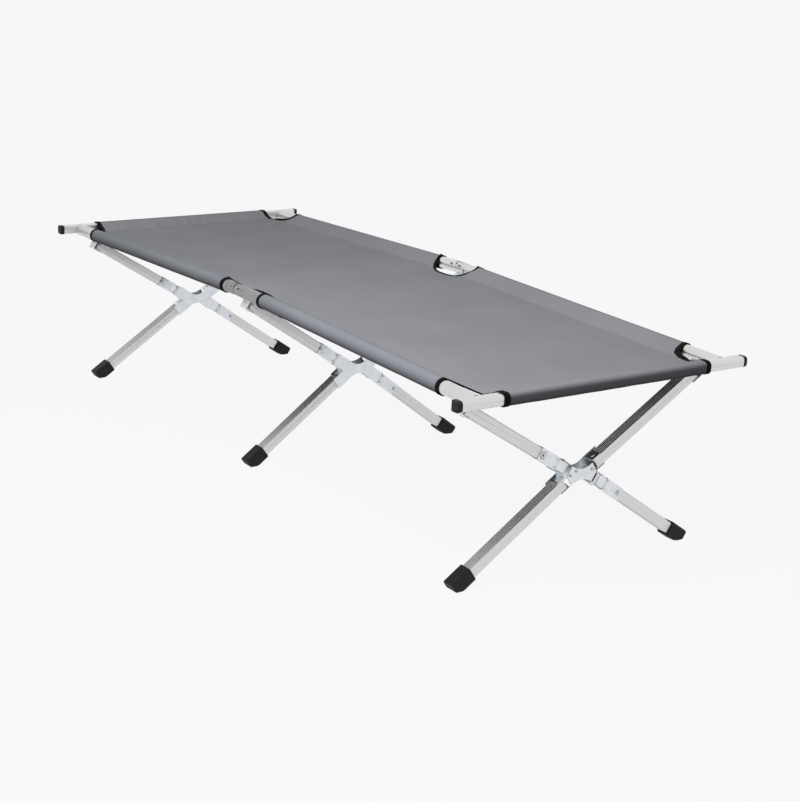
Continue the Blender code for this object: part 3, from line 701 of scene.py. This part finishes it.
def rail_height(x):
    return RAIL_Z - RAIL_SLOPE * abs(x - SEAM_X)


def along_rail(a, b, h):
    return h, a, b - RAIL_Z + rail_height(h)


def tube_frame(pin, target):
    axis_z = (target - pin).normalized()
    axis_x = Vector((1.0, 0.0, 0.0))
    axis_y = axis_z.cross(axis_x)
    result = Matrix((axis_x, axis_y, axis_z)).transposed().to_4x4()
    result.translation = pin
    return result


def hub_pin(legs, side, level):
    return Vector((legs.x, side * HUB_PIN_Y, legs.hub_z + level * HUB_PIN_Z))


def leg_target(legs, side, level):
    if level > 0:
        return Vector((legs.x, side * TOP_PIN_Y, legs.top_z))
    return Vector((legs.x, side * legs.foot_y, 0.0))


def leg_frame(legs, side, level):
    return tube_frame(hub_pin(legs, side, level), leg_target(legs, side, level))


# Side rails, links and end bars

def add_rails(mats):
    for side_name, side in SIDES.items():
        for end, outward in ENDS.items():
            y = side * RAIL_Y
            seam = SEAM_X + outward * SEAT_GAP / 2
            tip = outward * (BAR_X - BAR_WIDTH / 2 - SEAT_GAP)
            pivot = SEAM_X + outward * LINK_SPACING / 2
            low, high = sorted((seam, tip))
            rings = [circle(RAIL_RADIUS - wall, RAIL_SIDES, (y, RAIL_Z)) for wall in (0.0, RAIL_WALL)]
            body = tube(*rings, low, high, along_rail)
            above, before = RAIL_Z + CUT_MARGIN, seam - outward * CUT_MARGIN
            relief = prism(rectangle(y - CUT_MARGIN, y + CUT_MARGIN, RAIL_Z + LINK_RISE, above),
                           *sorted((before, SEAM_X + outward * SEAM_RELIEF)), on_x)
            slot_half = LINK_THICKNESS / 2 + RUN_GAP
            slot_end = pivot + outward * (LINK_HEIGHT / 2 + RUN_GAP)
            slot = prism(rectangle(y - slot_half, y + slot_half, RAIL_Z, above),
                         *sorted((before, slot_end)), on_x)
            node = f"rail_{side_name}_{end}"
            # The left rails carry a painted dark reflection over the middle notch.
            metal = mats["alu_dark_reflection" if side < 0 else "alu_x"]
            add_piece(f"rail_tube_{side_name}_{end}", body, metal, node,
                      cuts=(relief, slot), bevel=(FINE_ROUND, 2, 50.0), stands_for=(node,))


def bar_outline(outward, lines=False):
    """Section of the end bar in XZ, rounder on its outer side; lines adds its fine grooves."""
    half_width = BAR_WIDTH / 2
    bottom = BAR_TOP - BAR_HEIGHT
    outer, inner = BAR_OUTER_ROUND, BAR_INNER_ROUND
    points = []

    def groove(x, z, dx, dz):
        """Adds a groove across the direction (dx, dz) of the outline, which runs clockwise."""
        if lines:
            for along, deep in ((-BAR_GROOVE_HALF, 0.0), (0.0, BAR_GROOVE_DEPTH), (BAR_GROOVE_HALF, 0.0)):
                points.append((x + dx * along + dz * deep, z + dz * along - dx * deep))

    for place in BAR_GROOVES:
        groove(place, BAR_TOP, 1.0, 0.0)
    points += arc((half_width - outer, BAR_TOP - outer), outer, 90, 0, 10)
    groove(half_width, BAR_TOP - BAR_HEIGHT / 2, 0.0, -1.0)
    points += arc((half_width - outer, bottom + outer), outer, 0, -90, 10)
    groove(0.0, bottom, -1.0, 0.0)
    points += arc((-half_width + inner, bottom + inner), inner, 270, 180, 5)
    points += arc((-half_width + inner, BAR_TOP - inner), inner, 180, 90, 5)
    return [(outward * (BAR_X + x), z) for x, z in points]


def add_bars(mats):
    middle_z = BAR_TOP - BAR_HEIGHT / 2
    share_x, share_z = 1 - 2 * BAR_WALL / BAR_WIDTH, 1 - 2 * BAR_WALL / BAR_HEIGHT
    for end, outward in ENDS.items():
        middle_x = outward * BAR_X
        outer = bar_outline(outward, lines=True)
        inner = [(middle_x + (x - middle_x) * share_x, middle_z + (z - middle_z) * share_z)
                 for x, z in outer]
        body = f"end_bar_{end}"
        shape = tube(outer, inner, -BAR_HALF_LENGTH, BAR_HALF_LENGTH, on_y)
        add_piece(f"bar_tube_{end}", shape, mats["alu_y"], body, stands_for=(body,),
                  sharp=32.0)
        for side_name, side in SIDES.items():
            inner_face = side * (BAR_HALF_LENGTH + SEAT_GAP)
            outer_face = inner_face + side * CAP_THICKNESS
            shell = prism(bar_outline(outward), *sorted((inner_face, outer_face)), on_y)
            add_piece(f"cap_{side_name}_{end}", shell, mats["plastic"], body,
                      bevel=(CAP_ROUND, 3, 50.0), stands_for=(f"bar_cap_{side_name}_{end}",))
            place = Matrix.Translation((outward * (BAR_X - BUTTON_INSET), side * RAIL_Y, BAR_TOP))
            button = dome(BUTTON_RADIUS, BUTTON_HEIGHT)
            add_piece(f"bar_button_{side_name}_{end}", button, mats["zinc"], body,
                      matrix=place)


# Leg tubes, feet, hinges and brackets

def leg_section():
    """Ribbed section with rounded corners: four grooves on the pin faces, one fine line on the others."""
    half_x, half_y = LEG_DEPTH / 2, LEG_WIDTH / 2
    floor = half_y - LEG_GROOVE_DEPTH
    half = []
    for centre in LEG_GROOVES:
        half += [(centre - LEG_GROOVE_WIDTH / 2, half_y), (centre - LEG_GROOVE_WIDTH / 4, floor),
                 (centre + LEG_GROOVE_WIDTH / 4, floor), (centre + LEG_GROOVE_WIDTH / 2, half_y)]
    half += arc((half_x - LEG_CORNER, half_y - LEG_CORNER), LEG_CORNER, 90, 0, 4)
    half += [(half_x, LEG_LINE_HALF), (half_x - LEG_LINE_DEPTH, 0.0), (half_x, -LEG_LINE_HALF)]
    half += arc((half_x - LEG_CORNER, -half_y + LEG_CORNER), LEG_CORNER, 0, -90, 4)[:-1]
    outer = half + [(-x, -y) for x, y in half]
    inner = [(x * (1 - LEG_WALL / half_x), y * (1 - LEG_WALL / half_y)) for x, y in outer]
    return outer, inner


def leg_shape(length, round_far_end):
    outer, inner = leg_section()
    radius = LEG_DEPTH / 2

    def end_height(x, high):
        swell = math.sqrt(max(radius ** 2 - x ** 2, 0.0))
        if not high:
            return -swell
        return length + swell if round_far_end else length

    vertices = [(x, y, end_height(x, high)) for ring in (outer, inner) for high in (False, True)
                for x, y in ring]
    return tube_walls(vertices, len(outer))


def lower_leg_end(legs):
    """Length of a lower leg, whose lowest corner stays above the sole of its foot."""
    leg = leg_target(legs, 1, -1) - hub_pin(legs, 1, -1)
    axis = leg.normalized()
    return leg.length - (LEG_WIDTH / 2 * abs(axis.y) + TUBE_FLOOR_GAP) / abs(axis.z)


def add_legs(mats):
    for set_name, legs in SETS.items():
        upper = leg_shape((leg_target(legs, 1, 1) - hub_pin(legs, 1, 1)).length, True)
        lower = leg_shape(lower_leg_end(legs), False)
        for side_name, side in SIDES.items():
            for level, word, shape in ((1, "upper", upper), (-1, "lower", lower)):
                body = f"{word}_{side_name}_{set_name}"
                add_piece(f"leg_tube_{body}", shape, mats["alu_z"], body,
                          matrix=leg_frame(legs, side, level), stands_for=(f"leg_{body}",), sharp=28.0)


def sleeve_rib(face, centre):
    """Rounded rib along a sleeve's face, lower and narrower at its ends."""
    sections = []
    for i in range(13):
        share = i / 12
        swell = max(math.sqrt(1 - (2 * share - 1) ** 6), 0.05)
        z = SLEEVE_START + RIB_INSET + (SLEEVE_LENGTH - 2 * RIB_INSET) * share
        half, rise = RIB_HALF_WIDTH * swell, RIB_HEIGHT * swell
        profile = ((-0.0002, -1.0), (rise * 0.75, -0.7), (rise, 0.0), (rise * 0.75, 0.7), (-0.0002, 1.0))
        sections.append([(face + up, centre + half * across, z) for up, across in profile])
    return closed_loft(sections)


def end_sleeve_shape(ribbed):
    """Channel round the end of a leg, with three rounded ribs towards the near end of the bed, or plain."""
    inner_x = LEG_DEPTH / 2 + SEAT_GAP
    inner_y = LEG_WIDTH / 2 + SEAT_GAP
    outer_x, outer_y = inner_x + SLEEVE_PLATE, inner_y + SLEEVE_PLATE
    lip = inner_x - SLEEVE_LIP
    section = [(lip, inner_y), (lip, outer_y)]
    section += arc((outer_x - SLEEVE_ROUND, outer_y - SLEEVE_ROUND), SLEEVE_ROUND, 90, 0, 4)
    section += arc((outer_x - SLEEVE_ROUND, -outer_y + SLEEVE_ROUND), SLEEVE_ROUND, 0, -90, 4)
    section += [(lip, -outer_y), (lip, -inner_y), (inner_x, -inner_y), (inner_x, inner_y)]
    shapes = [prism(section, SLEEVE_START, SLEEVE_START + SLEEVE_LENGTH, on_z)]
    half = inner_y - TONGUE_INSET
    root, tip = SLEEVE_START + TONGUE_OVERLAP, TONGUE_TIP + TONGUE_ROUND
    tongue = [(-half, root), (-half, tip)]
    tongue += arc((-half + TONGUE_ROUND, tip), TONGUE_ROUND, 180, 270, 4)
    tongue += arc((half - TONGUE_ROUND, tip), TONGUE_ROUND, 270, 360, 4)
    tongue += [(half, root)]
    shapes.append(prism(tongue, inner_x, outer_x, on_x))
    if ribbed:
        shapes += [sleeve_rib(outer_x, centre) for centre in RIB_PLACES]
    return merged(*shapes), outer_x


def facing_x(shape, place):
    """Rivet head at a place, facing along X."""
    return moved(shape, Matrix.Translation(place) @ Matrix.Rotation(math.pi / 2, 4, "Y"))


def dimple_shadow(radius):
    """Painted shadow: dark disc in a rivet's dimple, standing for the shade on its floor."""
    return dome(radius, RIVET_FOOT, 16)


def add_rivets(mats, name, rings, shadow_marks, body, matrix=None):
    # Rivet heads in zinc, and their painted shadows in dark zinc
    for kind, shapes, mat in (("rivets", rings, "zinc"), ("painted_shadows", shadow_marks, "zinc_painted_shadow")):
        pieces = [facing_x(shape, place) for shape, place in shapes]
        add_piece(name.format(kind), merged(*pieces), mats[mat], body, matrix=matrix)


def add_hinges(mats):
    for set_name, legs in SETS.items():
        near = set_name == "near"
        for side, level, word in ((-1, 1, "upper_left"), (1, -1, "lower_right")):
            frame_here = leg_frame(legs, side, level)
            shape, face = end_sleeve_shape(not near)
            body = f"{word}_{set_name}"
            add_piece(f"sleeve_{body}", shape, mats["zinc"], body, matrix=frame_here,
                      bevel=(FINE_ROUND, 2, 40.0), stands_for=(f"end_sleeve_{body}",))
            low = SLEEVE_START + RIVET_INSET
            high = SLEEVE_START + SLEEVE_LENGTH - (NEAR_RIVET_INSET if near else RIVET_INSET)
            size = SLEEVE_RIVETS[word] if near else SLEEVE_RIVETS["other"]
            spots = [((face, 0.0, high), size)] + [((face, y, low), PAIR_RADIUS) for y in PAIR_PLACES]
            rings = [(ring_rivet(r, RIVET_HEIGHT, r * 0.45), place) for place, r in spots]
            shadow_marks = [(dimple_shadow(r * 0.44), place) for place, r in spots]
            # Painted shadow too: a flat dark ring round the foot of the big rivet.
            shadow_marks.append((ring_rivet(size * 1.22, RIVET_FOOT, size * 0.98), spots[0][0]))
            add_rivets(mats, f"sleeve_{{}}_{body}", rings, shadow_marks, body, frame_here)
        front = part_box(f"hinge_cover_{set_name}")[1].x
        places = [(front, y, legs.hub_z + z) for y, z in COVER_MARKS]
        rings = [(ring_rivet(COVER_RIVET, COVER_RIVET_HEIGHT, COVER_DIMPLE), place) for place in places]
        shadow_marks = [(dimple_shadow(COVER_SHADOW_RADIUS), place) for place in places]
        add_rivets(mats, f"hinge_{{}}_{set_name}", rings, shadow_marks, f"hinge_{set_name}")


def dress_kept_nodes(mats):
    """Rounds and paints the pressed and moulded nodes that stay."""
    looks = {"rail_link": ("zinc_dull", PLATE_ROUND, 2), "rail_bracket": ("zinc", PLATE_ROUND, 2),
             "hinge_": ("zinc", PLATE_ROUND, 2), "foot": ("rubber", FOOT_ROUND, 4)}
    for name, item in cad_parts.items():
        for start, (mat, width, segments) in looks.items():
            if name.startswith(start):
                item.data.materials.clear()
                item.data.materials.append(mats[mat])
                modify(item, "WELD", merge_threshold=NODE_WELD)
                bevel_edges(item, width, segments)


# Fabric bed

def notch_share(side, x):
    """Depth of the middle notch at a place along the bed, 0 to 1."""
    notch = NOTCHES[side]
    place = (x - notch.middle) / notch.half
    return math.sqrt(1.0 - place * place) if abs(place) < 1.0 else 0.0


def edge_width(side, x):
    """Outline of the sheet: distance of its edge from the middle line of the bed."""
    edge = RAIL_Y - (RAIL_Y - MIDDLE_CUT_Y) * notch_share(side, x)
    reach = abs(x)
    for (start, high), (stop, low) in zip(CORNER_EDGE, CORNER_EDGE[1:]):
        if reach > start:
            edge = high + (low - high) * min((reach - start) / (stop - start), 1.0)
    return edge


def eased(value):
    value = min(max(value, 0.0), 1.0)
    return value * value * (3 - 2 * value)


def ripple(*place):
    """Smooth unevenness of the cloth, from -1 to 1."""
    return noise.noise(Vector(place))


def loop_rise(inset, radius, run, drop):
    """Rise of the cloth over the seam line, where it goes over a round. Run and drop lead to its centre."""
    if inset >= run:
        return 0.0
    inset = max(inset, 0.0)
    reach = math.hypot(run, drop)
    angle = math.acos(radius / reach) - math.atan2(drop, run)
    touch, high = radius * math.cos(angle), radius * math.sin(angle)
    if inset <= touch:
        return drop + math.sqrt(max(radius ** 2 - inset ** 2, 0.0))
    return (high + drop) * (run - inset) / (run - touch)


def bed_height(x, y):
    """Upper face of the bed, which slopes down from the rails and bars to the seams of their sleeves."""
    side_seam = rail_height(x) - SEW_DROP - BED_SAG * (1 - min(abs(y) / SEW_Y, 1.0) ** 2)
    end_seam = BAR_TOP - BAR_HEIGHT / 2 - SEW_DROP
    share = eased((abs(x) - (SEW_X - END_SLOPE)) / END_SLOPE)
    height = side_seam * (1 - share) + end_seam * share
    over_rail = loop_rise(RAIL_Y - abs(y), RAIL_RADIUS + WRAP_OFFSET, RAIL_Y - SEW_Y, SEW_DROP)
    corner = BAR_X - (BAR_WIDTH / 2 - BAR_INNER_ROUND)
    over_bar = loop_rise(corner - abs(x), BAR_INNER_ROUND + WRAP_OFFSET, corner - SEW_X,
                         BAR_HEIGHT / 2 + SEW_DROP - BAR_INNER_ROUND)
    height += math.hypot(over_rail, over_bar)
    side = -1 if y < 0 else 1
    near_edge = eased((abs(y) - edge_width(side, x) + DROOP_REACH) / DROOP_REACH)
    height -= NOTCH_DROOP[side] * notch_share(side, x) * near_edge
    inside = eased((SEW_Y - SEW_INSET - abs(y)) / SLACK_FADE_Y) * eased((SEW_X - abs(x)) / SLACK_FADE_X)
    slack = ripple(x * 3.1 + y * 1.7, y * 6.0 - x * 1.1, 3.7)
    creases = ripple(x * 9.0 + y * 6.0, y * 16.0 - x * 3.0, 8.1)
    height += (SLACK_DEPTH * slack + CREASE_DEPTH * creases) * inside
    gather = eased((abs(x) - GATHER_START) / GATHER_FADES[0])
    gather *= eased((GATHER_END - abs(x)) / GATHER_FADES[1])
    depth = GATHER_DEPTH[-1 if x < 0 else 1]
    return height + depth * gather * ripple(x * 9.0, y * 62.0 + x * 8.0, 1.3)


def bed_normal(x, y):
    step = 0.0005
    slope_x = (bed_height(x + step, y) - bed_height(x - step, y)) / (2 * step)
    slope_y = (bed_height(x, y + step) - bed_height(x, y - step)) / (2 * step)
    return Vector((-slope_x, -slope_y, 1.0)).normalized()


def edge_point(side, x):
    y = side * edge_width(side, x)
    return x, y, bed_height(x, y)


def spaced(low, high, count):
    return [low + (high - low) * i / count for i in range(count + 1)]


def columns_between(low, high):
    """X positions of the sheet's columns, denser where its outline turns."""
    marks = {low, high}
    for notch in NOTCHES.values():
        for offset in NOTCH_OFFSETS:
            marks |= {notch.middle - notch.half + offset, notch.middle + notch.half - offset}
    places = CORNER_PLACES + CORNER_COLUMNS + [SEW_X] + [BAR_X - inset for inset in BAR_OFFSETS]
    for outward in ENDS.values():
        marks |= {outward * place for place in places}
    marks |= set(spaced(low, high, max(int(round((high - low) / COLUMN_STEP)), 2)))
    chosen = []
    for x in sorted(m for m in marks if low <= m <= high):
        if not chosen or x - chosen[-1] > COLUMN_GAP:
            chosen.append(x)
    chosen[-1] = high
    return chosen


def sheet_rows(low, high, side):
    """Rows across the middle of the bed, where side is 0, or across a rim, closer over the rail."""
    rows = []
    for x in columns_between(low, high):
        if side == 0:
            ys = [SPLIT_Y * (i / 30 - 1.0) for i in range(61)]
        else:
            width = edge_width(side, x) - SPLIT_Y
            ys = [side * (SPLIT_Y + width * share) for share in RIM_SHARES]
        rows.append([(x, y, bed_height(x, y)) for y in ys])
    return rows


def flattened(item):
    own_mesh(item)


def thick_sheet(name, shape, mat, body, facing, squashed=False):
    """Cloth of even thickness under a surface."""
    item = object_of(name, mesh_of(shape, facing))
    modify(item, "SOLIDIFY", thickness=CLOTH, offset=-1.0, use_even_offset=True)
    bake(item)
    finish_piece(item, mat, body, 50.0)
    if squashed:
        flattened(item)
    return item


def flap(start, x, y, steps):
    """Straight run of cloth from a point to the seam under the sheet, without that point."""
    end = (x, y, bed_height(x, y) - 2 * CLOTH - FLAP_GAP)
    return [tuple(a + (b - a) * i / steps for a, b in zip(start, end)) for i in range(1, steps + 1)]


def sleeve_section(side, x):
    """Side sleeve: from the top of the rail round its outside, and back to the seam as a flap."""
    wave = SLEEVE_WAVE * ripple(x * 22.0, side * 4.0, 0.5)
    points = []
    for i in range(29):
        angle = math.radians(90 - 195 * i / 28)
        r = RAIL_RADIUS + WRAP_OFFSET + wave * math.sin(math.pi * i / 28)
        points.append((x, side * (RAIL_Y + r * math.cos(angle)), rail_height(x) + r * math.sin(angle)))
    return points + flap(points[-1], x, side * SEW_Y, 8)


def hem_section(outward, y):
    """End hem: from the top of the bar round its outside, and back to the seam as a flap."""
    half_width = BAR_WIDTH / 2
    bottom = BAR_TOP - BAR_HEIGHT
    outer, inner = BAR_OUTER_ROUND, BAR_INNER_ROUND
    points = arc((half_width - outer, BAR_TOP - outer), outer + WRAP_OFFSET, 90, 0, 8)
    points += arc((half_width - outer, bottom + outer), outer + WRAP_OFFSET, 0, -90, 8)
    points += arc((-half_width + inner, bottom + inner), inner + WRAP_OFFSET, 270, 245, 3)
    wave = HEM_WAVE * ripple(y * 30.0, outward * 3.0, 6.5)
    ring = [(outward * BAR_X, y, bed_height(outward * BAR_X, y))]
    ring += [(outward * (BAR_X + x), y, z - wave * (BAR_TOP - z) / BAR_HEIGHT) for x, z in points]
    return ring + flap(ring[-1], outward * SEW_X, y, 6)


def tape(path, inward, normals, width):
    """Binding folded over an edge: flat rounded section swept along the edge's points."""
    half = TAPE_THICKNESS / 2
    nose = half * 0.6
    profile = []
    for middle, start in ((nose - TAPE_PROUD, 90), (width - nose, -90)):
        turn = arc((0.0, 0.0), 1.0, start, start + 180, 4)
        profile += [(middle + nose * across, half * up) for across, up in turn]
    sections = []
    for point, into, normal in zip(path, inward, normals):
        middle = Vector(point) - normal * (CLOTH / 2)
        sections.append([tuple(middle + into * a + normal * b) for a, b in profile])
    return closed_loft(sections)


def heading(path, i):
    """Direction of a path at one of its points."""
    return Vector(path[min(i + 1, len(path) - 1)]) - Vector(path[max(i - 1, 0)])


def square_to(path, axis, centre):
    """Normals of a path that runs round an axis, pointing away from a centre."""
    normals = []
    for i, p in enumerate(path):
        normal = heading(path, i).cross(axis).normalized()
        if normal.dot(Vector(p) - centre) < 0:
            normal = -normal
        normals.append(normal)
    return normals


def sleeve_ring(side, x, into):
    """Binding round the open end of a side sleeve. into is 1 where the cloth lies towards +X."""
    path = sleeve_section(side, x)
    centre = Vector((x, side * (RAIL_Y - 0.010), rail_height(x) + 0.004))
    normals = square_to(path, Vector((1.0, 0.0, 0.0)), centre)
    return tape(path, [Vector((into, 0.0, 0.0))] * len(path), normals, RING_WIDTH)


def hem_ring(outward, side):
    y = side * CORNER_CUT_Y
    path = hem_section(outward, y)
    centre = Vector((outward * (BAR_X - 0.008), y, BAR_TOP - BAR_HEIGHT / 2 + 0.003))
    normals = square_to(path, Vector((0.0, 1.0, 0.0)), centre)
    return tape(path, [Vector((0.0, -side, 0.0))] * len(path), normals, HEM_RING_WIDTH)


def edge_tape(xs, side, width):
    """Binding along the sheet's edge, over the given X positions."""
    path = [edge_point(side, x) for x in xs]
    normals = [bed_normal(x, y) for x, y, _ in path]
    inward = []
    for i, normal in enumerate(normals):
        across = heading(path, i).cross(normal).normalized()
        if across.dot(Vector((-path[i][0] * 0.02, -side, 0.0))) < 0:
            across = -across
        inward.append(across)
    return tape(path, inward, normals, width)


def stitch(middle, direction, normal):
    """Short raised thread with its ends in the cloth."""
    across = direction.cross(normal).normalized()
    sections = []
    for along, size, rise in ((-0.5, 0.35, -0.4), (-0.3, 1.0, 0.4), (0.3, 1.0, 0.4), (0.5, 0.35, -0.4)):
        centre = middle + direction * (STITCH_LENGTH * along) + normal * (THREAD_RADIUS * rise)
        ring = circle(THREAD_RADIUS * size, 5)
        sections.append([tuple(centre + across * (1.3 * a) + normal * b) for a, b in ring])
    return closed_loft(sections)


def sewn(places):
    """Row of stitches along places on the sheet."""
    path = [Vector((x, y, bed_height(x, y))) for x, y in places]
    shapes = []
    carried = 0.0
    for (x, y), start, stop in zip(places, path, path[1:]):
        gap = (stop - start).length
        direction = (stop - start) / gap
        normal = bed_normal(x, y)
        while carried <= gap:
            shapes.append(stitch(start + direction * carried, direction, normal))
            carried += STITCH_PITCH
        carried -= gap
    return merged(*shapes)


def notch_places(side, low, high):
    """X positions along the middle notch between two limits, closer where it turns."""
    notch = NOTCHES[side]
    places = [notch.middle + notch.half * math.cos(math.pi * i / 56) for i in range(57)]
    start, stop = max(low, min(places)), min(high, max(places))
    return [start] + sorted(x for x in places if start + 0.0004 < x < stop - 0.0004) + [stop]


def add_trim(name, shapes, mat, body):
    return add_piece(name, merged(*shapes), mat, body, sharp=60.0)


def add_sleeves(mats):
    for side_name, side in SIDES.items():
        notch = NOTCHES[side]
        runs = {"near": (notch.middle + notch.half, SIDE_SLEEVE_END),
                "far": (-SIDE_SLEEVE_END, notch.middle - notch.half)}
        for half, (low, high) in runs.items():
            body = f"rail_{side_name}_{half}"
            shape = grid([sleeve_section(side, x) for x in spaced(low, high, 60)])
            thick_sheet(f"side_sleeve_{side_name}_{half}", shape, mats["sleeve"], body,
                        Vector((0.0, side, 0.3)))
            rings = [sleeve_ring(side, low + RING_INSET, 1.0), sleeve_ring(side, high - RING_INSET, -1.0)]
            add_trim(f"sleeve_binding_{side_name}_{half}", rings, mats["binding"], body)


def add_hems(mats):
    places = []
    for start, stop in zip(CORNER_PLACES, CORNER_PLACES[1:]):
        places += spaced(start, stop, 5)[:-1]
    places += spaced(CORNER_PLACES[-1], BAR_X - 0.002, 6)
    for end, outward in ENDS.items():
        facing = Vector((outward, 0.0, 0.3))
        shape = grid([hem_section(outward, y) for y in spaced(-SPLIT_Y, SPLIT_Y, 66)])
        thick_sheet(f"end_hem_{end}", shape, mats["hem"], f"rail_left_{end}", facing, True)
        for side_name, side in SIDES.items():
            body = f"rail_{side_name}_{end}"
            shape = grid([hem_section(outward, side * y) for y in spaced(SPLIT_Y, CORNER_CUT_Y, 3)])
            thick_sheet(f"end_hem_{side_name}_{end}", shape, mats["hem"], body, facing)
            edging = edge_tape([outward * x for x in places], side, CORNER_TAPE_WIDTH)
            trims = [hem_ring(outward, side), edging]
            add_trim(f"corner_binding_{side_name}_{end}", trims, mats["binding"], body)


def add_stitching(mats, word, outward):
    for side_name, side in SIDES.items():
        notch = NOTCHES[side]
        inner = notch.middle + outward * (notch.half + SEW_INSET)
        xs = spaced(*sorted((inner, outward * (SIDE_SLEEVE_END + SEW_INSET))), 140)
        rows = [sewn([(x, side * line) for x in xs]) for line in (SEW_Y, SEW_Y + SEW_ROWS_GAP)]
        add_trim(f"stitching_{side_name}_{word}", rows, mats["thread"], f"rail_{side_name}_{word}")
    ys = spaced(-SPLIT_Y + SEW_INSET, SPLIT_Y - SEW_INSET, 90)
    rows = [sewn([(outward * line, y) for y in ys]) for line in (SEW_X, SEW_X + SEW_ROWS_GAP)]
    flattened(add_trim(f"stitching_end_{word}", rows, mats["thread"], f"rail_left_{word}"))


def add_bed(mats):
    near_joint = SEAM_X + LINK_SPACING / 2
    far_joint = SEAM_X - LINK_SPACING / 2
    up = Vector((0.0, 0.0, 1.0))
    spans = {"near": (near_joint, BAR_X), "fold": (far_joint, near_joint), "far": (-BAR_X, far_joint)}
    for word, (low, high) in spans.items():
        bodies = {name: f"link_{name}" if word == "fold" else f"rail_{name}_{word}" for name in SIDES}
        shape = grid(sheet_rows(low, high, 0))
        item = thick_sheet(f"bed_sheet_{word}", shape, mats["bed"], bodies["left"], up, True)
        if word == "near":
            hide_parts("bed_fabric")
        for side_name, side in SIDES.items():
            body = bodies[side_name]
            shape = grid(sheet_rows(low, high, side))
            widest = max(edge_width(side, x) for x in columns_between(low, high))
            thick_sheet(f"bed_rim_{side_name}_{word}", shape, mats["bed"], body, up)
            edging = edge_tape(notch_places(side, low, high), side, NOTCH_TAPE_WIDTH)
            add_trim(f"notch_binding_{side_name}_{word}", [edging], mats["binding"], body)
        if word != "fold":
            add_stitching(mats, word, ENDS[word])
    add_sleeves(mats)
    add_hems(mats)


place_camera()
light_scene()
materials = make_materials()
add_rails(materials)
add_bars(materials)
add_legs(materials)
add_hinges(materials)
dress_kept_nodes(materials)
add_bed(materials)
